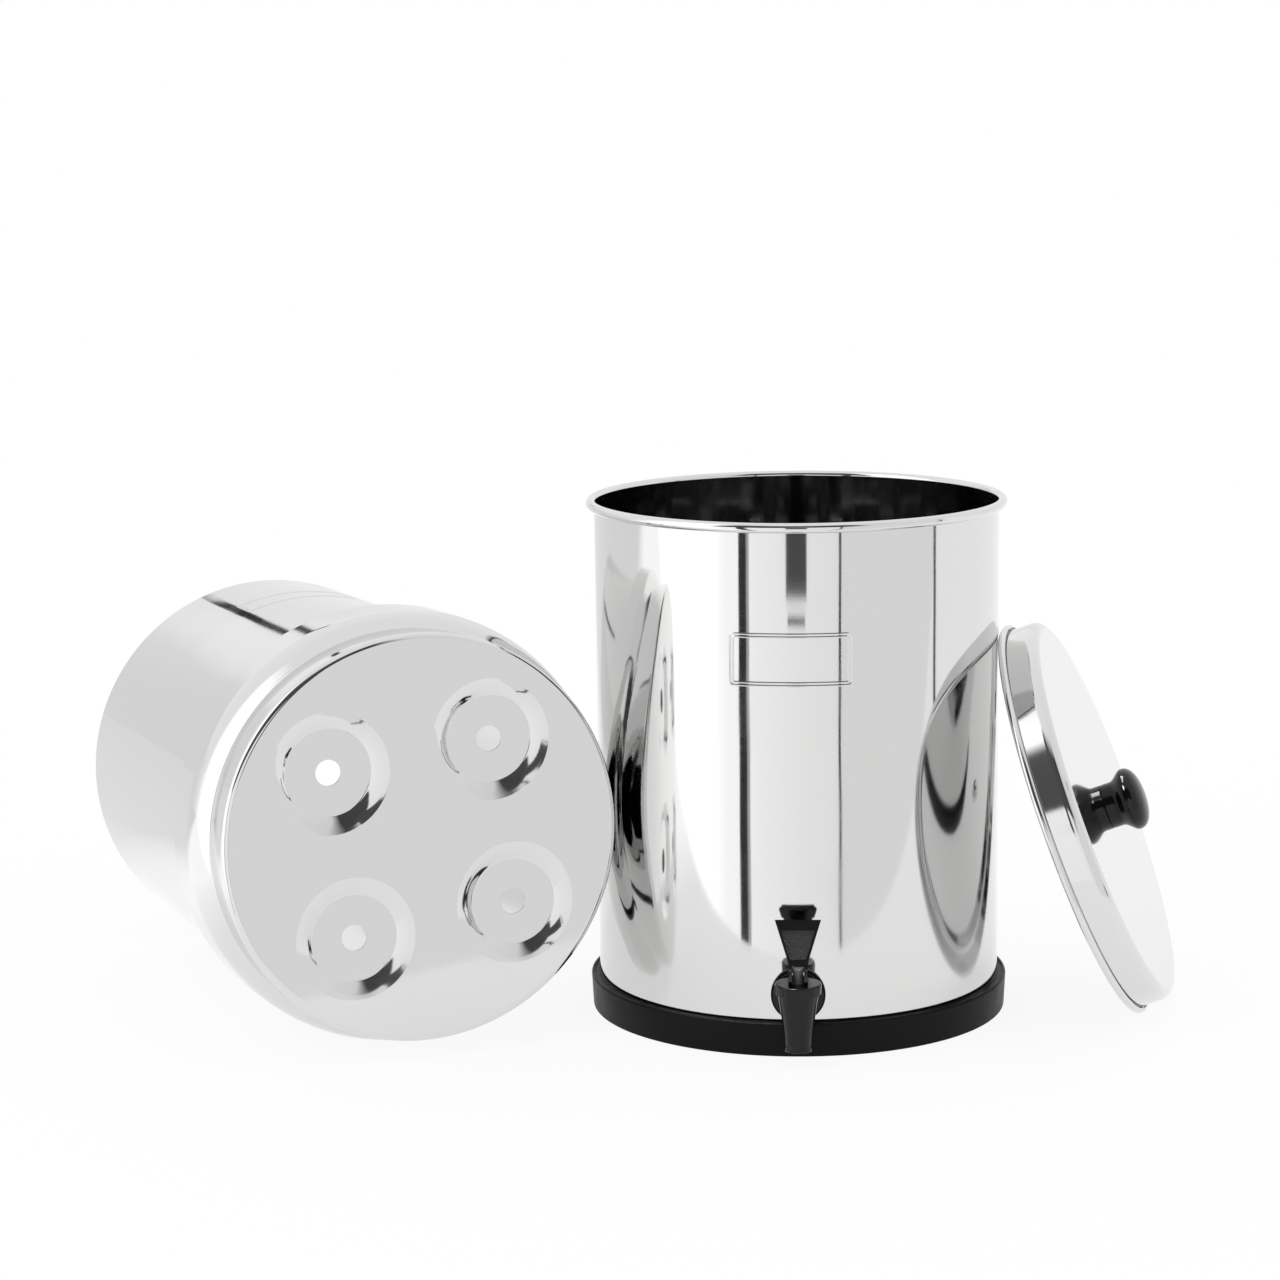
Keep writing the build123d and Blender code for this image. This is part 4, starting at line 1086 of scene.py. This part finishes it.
def glow(name, strength):
    """An emitting stage material."""
    material, tree, surface = bare_material(name)
    light = tree.nodes.new("ShaderNodeEmission")
    light.inputs["Strength"].default_value = strength
    tree.links.new(light.outputs[0], surface)
    return material


def card(name, azimuth, width, distance, low, high, strength):
    """A curved upright card round the object, seen only in reflections. Angles in degrees.

    It is the part of a cylinder of radius distance between two bearings and two heights."""
    a = np.radians(np.linspace(azimuth - width / 2, azimuth + width / 2, 17))
    x, y = distance * np.sin(a), -distance * np.cos(a)
    grid = np.stack([np.stack([x, y, np.full_like(x, h)], -1) for h in (low, high)])
    faces, _ = sheet_of(grid, wrap_columns=False)
    piece = staged(name, grid.reshape(-1, 3).tolist(), faces.tolist(), glow(name, strength))
    piece.visible_camera = piece.visible_diffuse = piece.visible_shadow = False


def floor():
    """A white floor that keeps a faint shade of the object.

    To the camera it is white, apart from a share of its real shading near the object. In
    reflections it glows, with a painted pool of light to the left of the object and painted shade
    to the left and behind it, and it ends at the table's front edge, where the room shows beyond."""
    material, tree, surface = bare_material("floor")
    where = object_place(tree)
    x, y, _ = separated(tree, where)
    distance = tree.nodes.new("ShaderNodeVectorMath")
    distance.operation = "LENGTH"
    tree.links.new(where, distance.inputs[0])
    far = ranged(tree, distance.outputs["Value"], 0.0, 1.0, *SHADE_REACH)
    path = tree.nodes.new("ShaderNodeLightPath")
    to_camera, glossy = path.outputs["Is Camera Ray"], path.outputs["Is Glossy Ray"]
    to_camera = calc(tree, "MULTIPLY", to_camera, blended(tree, far, SHADE_HIDDEN, 1.0))
    plain = calc(tree, "ADD", to_camera, calc(tree, "MULTIPLY", glossy, MIRRORED_PLAIN))
    # painted light on the floor in reflections: brighter to the left of the object, painted shade to
    # the left and behind
    left = ranged(tree, x, 1.0, 0.0, *LEFT_OF_OBJECT)
    behind = ranged(tree, y, 0.0, 1.0, *BEHIND_OBJECT)
    on_left = blended(tree, behind, MIRRORED_AHEAD, MIRRORED_BEHIND)
    mirrored = blended(tree, left, MIRRORED, on_left)
    matt = tree.nodes.new("ShaderNodeBsdfDiffuse")
    matt.inputs["Color"].default_value = (*TABLE_TONE, 1)
    white = tree.nodes.new("ShaderNodeEmission")
    tree.links.new(blended(tree, glossy, 1.0, mirrored), white.inputs["Strength"])
    clear = tree.nodes.new("ShaderNodeBsdfTransparent")
    beyond = calc(tree, "MULTIPLY", glossy, calc(tree, "LESS_THAN", y, TABLE_FRONT))
    table = mixed(tree, plain, matt.outputs[0], white.outputs[0])
    tree.links.new(mixed(tree, beyond, table, clear.outputs[0]), surface)
    corners = [(-1, -1), (1, -1), (1, 1), (-1, 1)]
    points = [(TABLE_HALF * across, TABLE_HALF * along, 0) for across, along in corners]
    staged("floor", points, [(0, 1, 2, 3)], material)


room()
floor()
card("lens", azimuth=0, width=10.6, distance=0.82, low=0.158, high=0.5, strength=0.08)
card("lens_foot", azimuth=0, width=9, distance=0.82, low=0.137, high=0.144, strength=0.02)
card("side_gap", azimuth=78.5, width=1.6, distance=0.9, low=0.0, high=0.6, strength=0.02)
card("stand_pole", azimuth=-153.2, width=1.7, distance=2.0, low=0.6, high=1.2, strength=0.02)


# ------------------------------------------------------------------ lamps
def area_lamp(name, width, height, power, stand, target):
    """A rectangular lamp at a place, turned to its target."""
    light = bpy.data.lights.new(name, "AREA")
    light.shape = "RECTANGLE"
    light.size, light.size_y = width, height
    light.energy = power
    lamp = bpy.data.objects.new(name, light)
    lamp.location = stand
    lamp.rotation_euler = (Vector(target) - lamp.location).to_track_quat("-Z", "Y").to_euler()
    bpy.context.scene.collection.objects.link(lamp)
    return lamp


MOULDINGS = bpy.data.collections.new("mouldings")
for moulding in (
    knob_skin, body_skin, bonnet_skin, ring_skin, NODES["tap_lever"], NODES["tap_stem"],
):
    MOULDINGS.objects.link(moulding)


def gleam(name, size, strength, azimuth, height, target):
    """A small bright lamp that only shows as a highlight on the black mouldings.

    It stands a metre from its target, at a bearing and height given in degrees, and its power is
    its strength times pi times its area."""
    a, h = radians(azimuth), radians(height)
    away = Vector((sin(a) * cos(h), -cos(a) * cos(h), sin(h)))
    power = strength * pi * size**2
    lamp = area_lamp(name, size, size, power, Vector(target) + away, target)
    lamp.visible_diffuse = False
    lamp.light_linking.receiver_collection = MOULDINGS


MIDDLE = (0, 0, 0.12)
NEAR_KNOB = (0.235, -0.03, 0.13)
TAP_PIN = (0, TAP_Y * MM, PIN_Z * MM)
key_lamp = area_lamp("key", width=0.9, height=1.2, power=5.0, stand=(-1.3, -1.1, 1.5), target=MIDDLE)
key_lamp.visible_glossy = False
gleam("knob_gleam", size=0.55, strength=18.0, azimuth=-113, height=61, target=NEAR_KNOB)
gleam("tap_gleam", size=0.3, strength=40.0, azimuth=-38, height=62, target=TAP_PIN)

# ------------------------------------------------------------------ camera
CAMERA_PLACE = (0, -2.0449, 0.5725)
CAMERA_LENS = 97.26
CAMERA_YAW, CAMERA_PITCH, CAMERA_ROLL = 2.633, 9.712, -0.678


def camera():
    """A camera turned left by its yaw, then down by its pitch, then about its own view."""
    yaw, pitch, roll = radians(CAMERA_YAW), radians(CAMERA_PITCH), radians(CAMERA_ROLL)
    ahead = Vector((-sin(yaw) * cos(pitch), cos(yaw) * cos(pitch), -sin(pitch)))
    right = Vector((cos(yaw), sin(yaw), 0))
    up = right.cross(ahead)
    right, up = right * cos(roll) + up * sin(roll), up * cos(roll) - right * sin(roll)
    data = bpy.data.cameras.new("camera")
    data.lens = CAMERA_LENS
    data.sensor_width = 36.0
    data.clip_start, data.clip_end = 0.05, 50
    piece = bpy.data.objects.new("camera", data)
    bpy.context.scene.collection.objects.link(piece)
    turn = Matrix((right, up, -ahead)).transposed().to_4x4()
    turn.translation = CAMERA_PLACE
    piece.matrix_world = turn
    return piece


bpy.context.scene.camera = camera()
bpy.context.scene.view_settings.view_transform = "Standard"
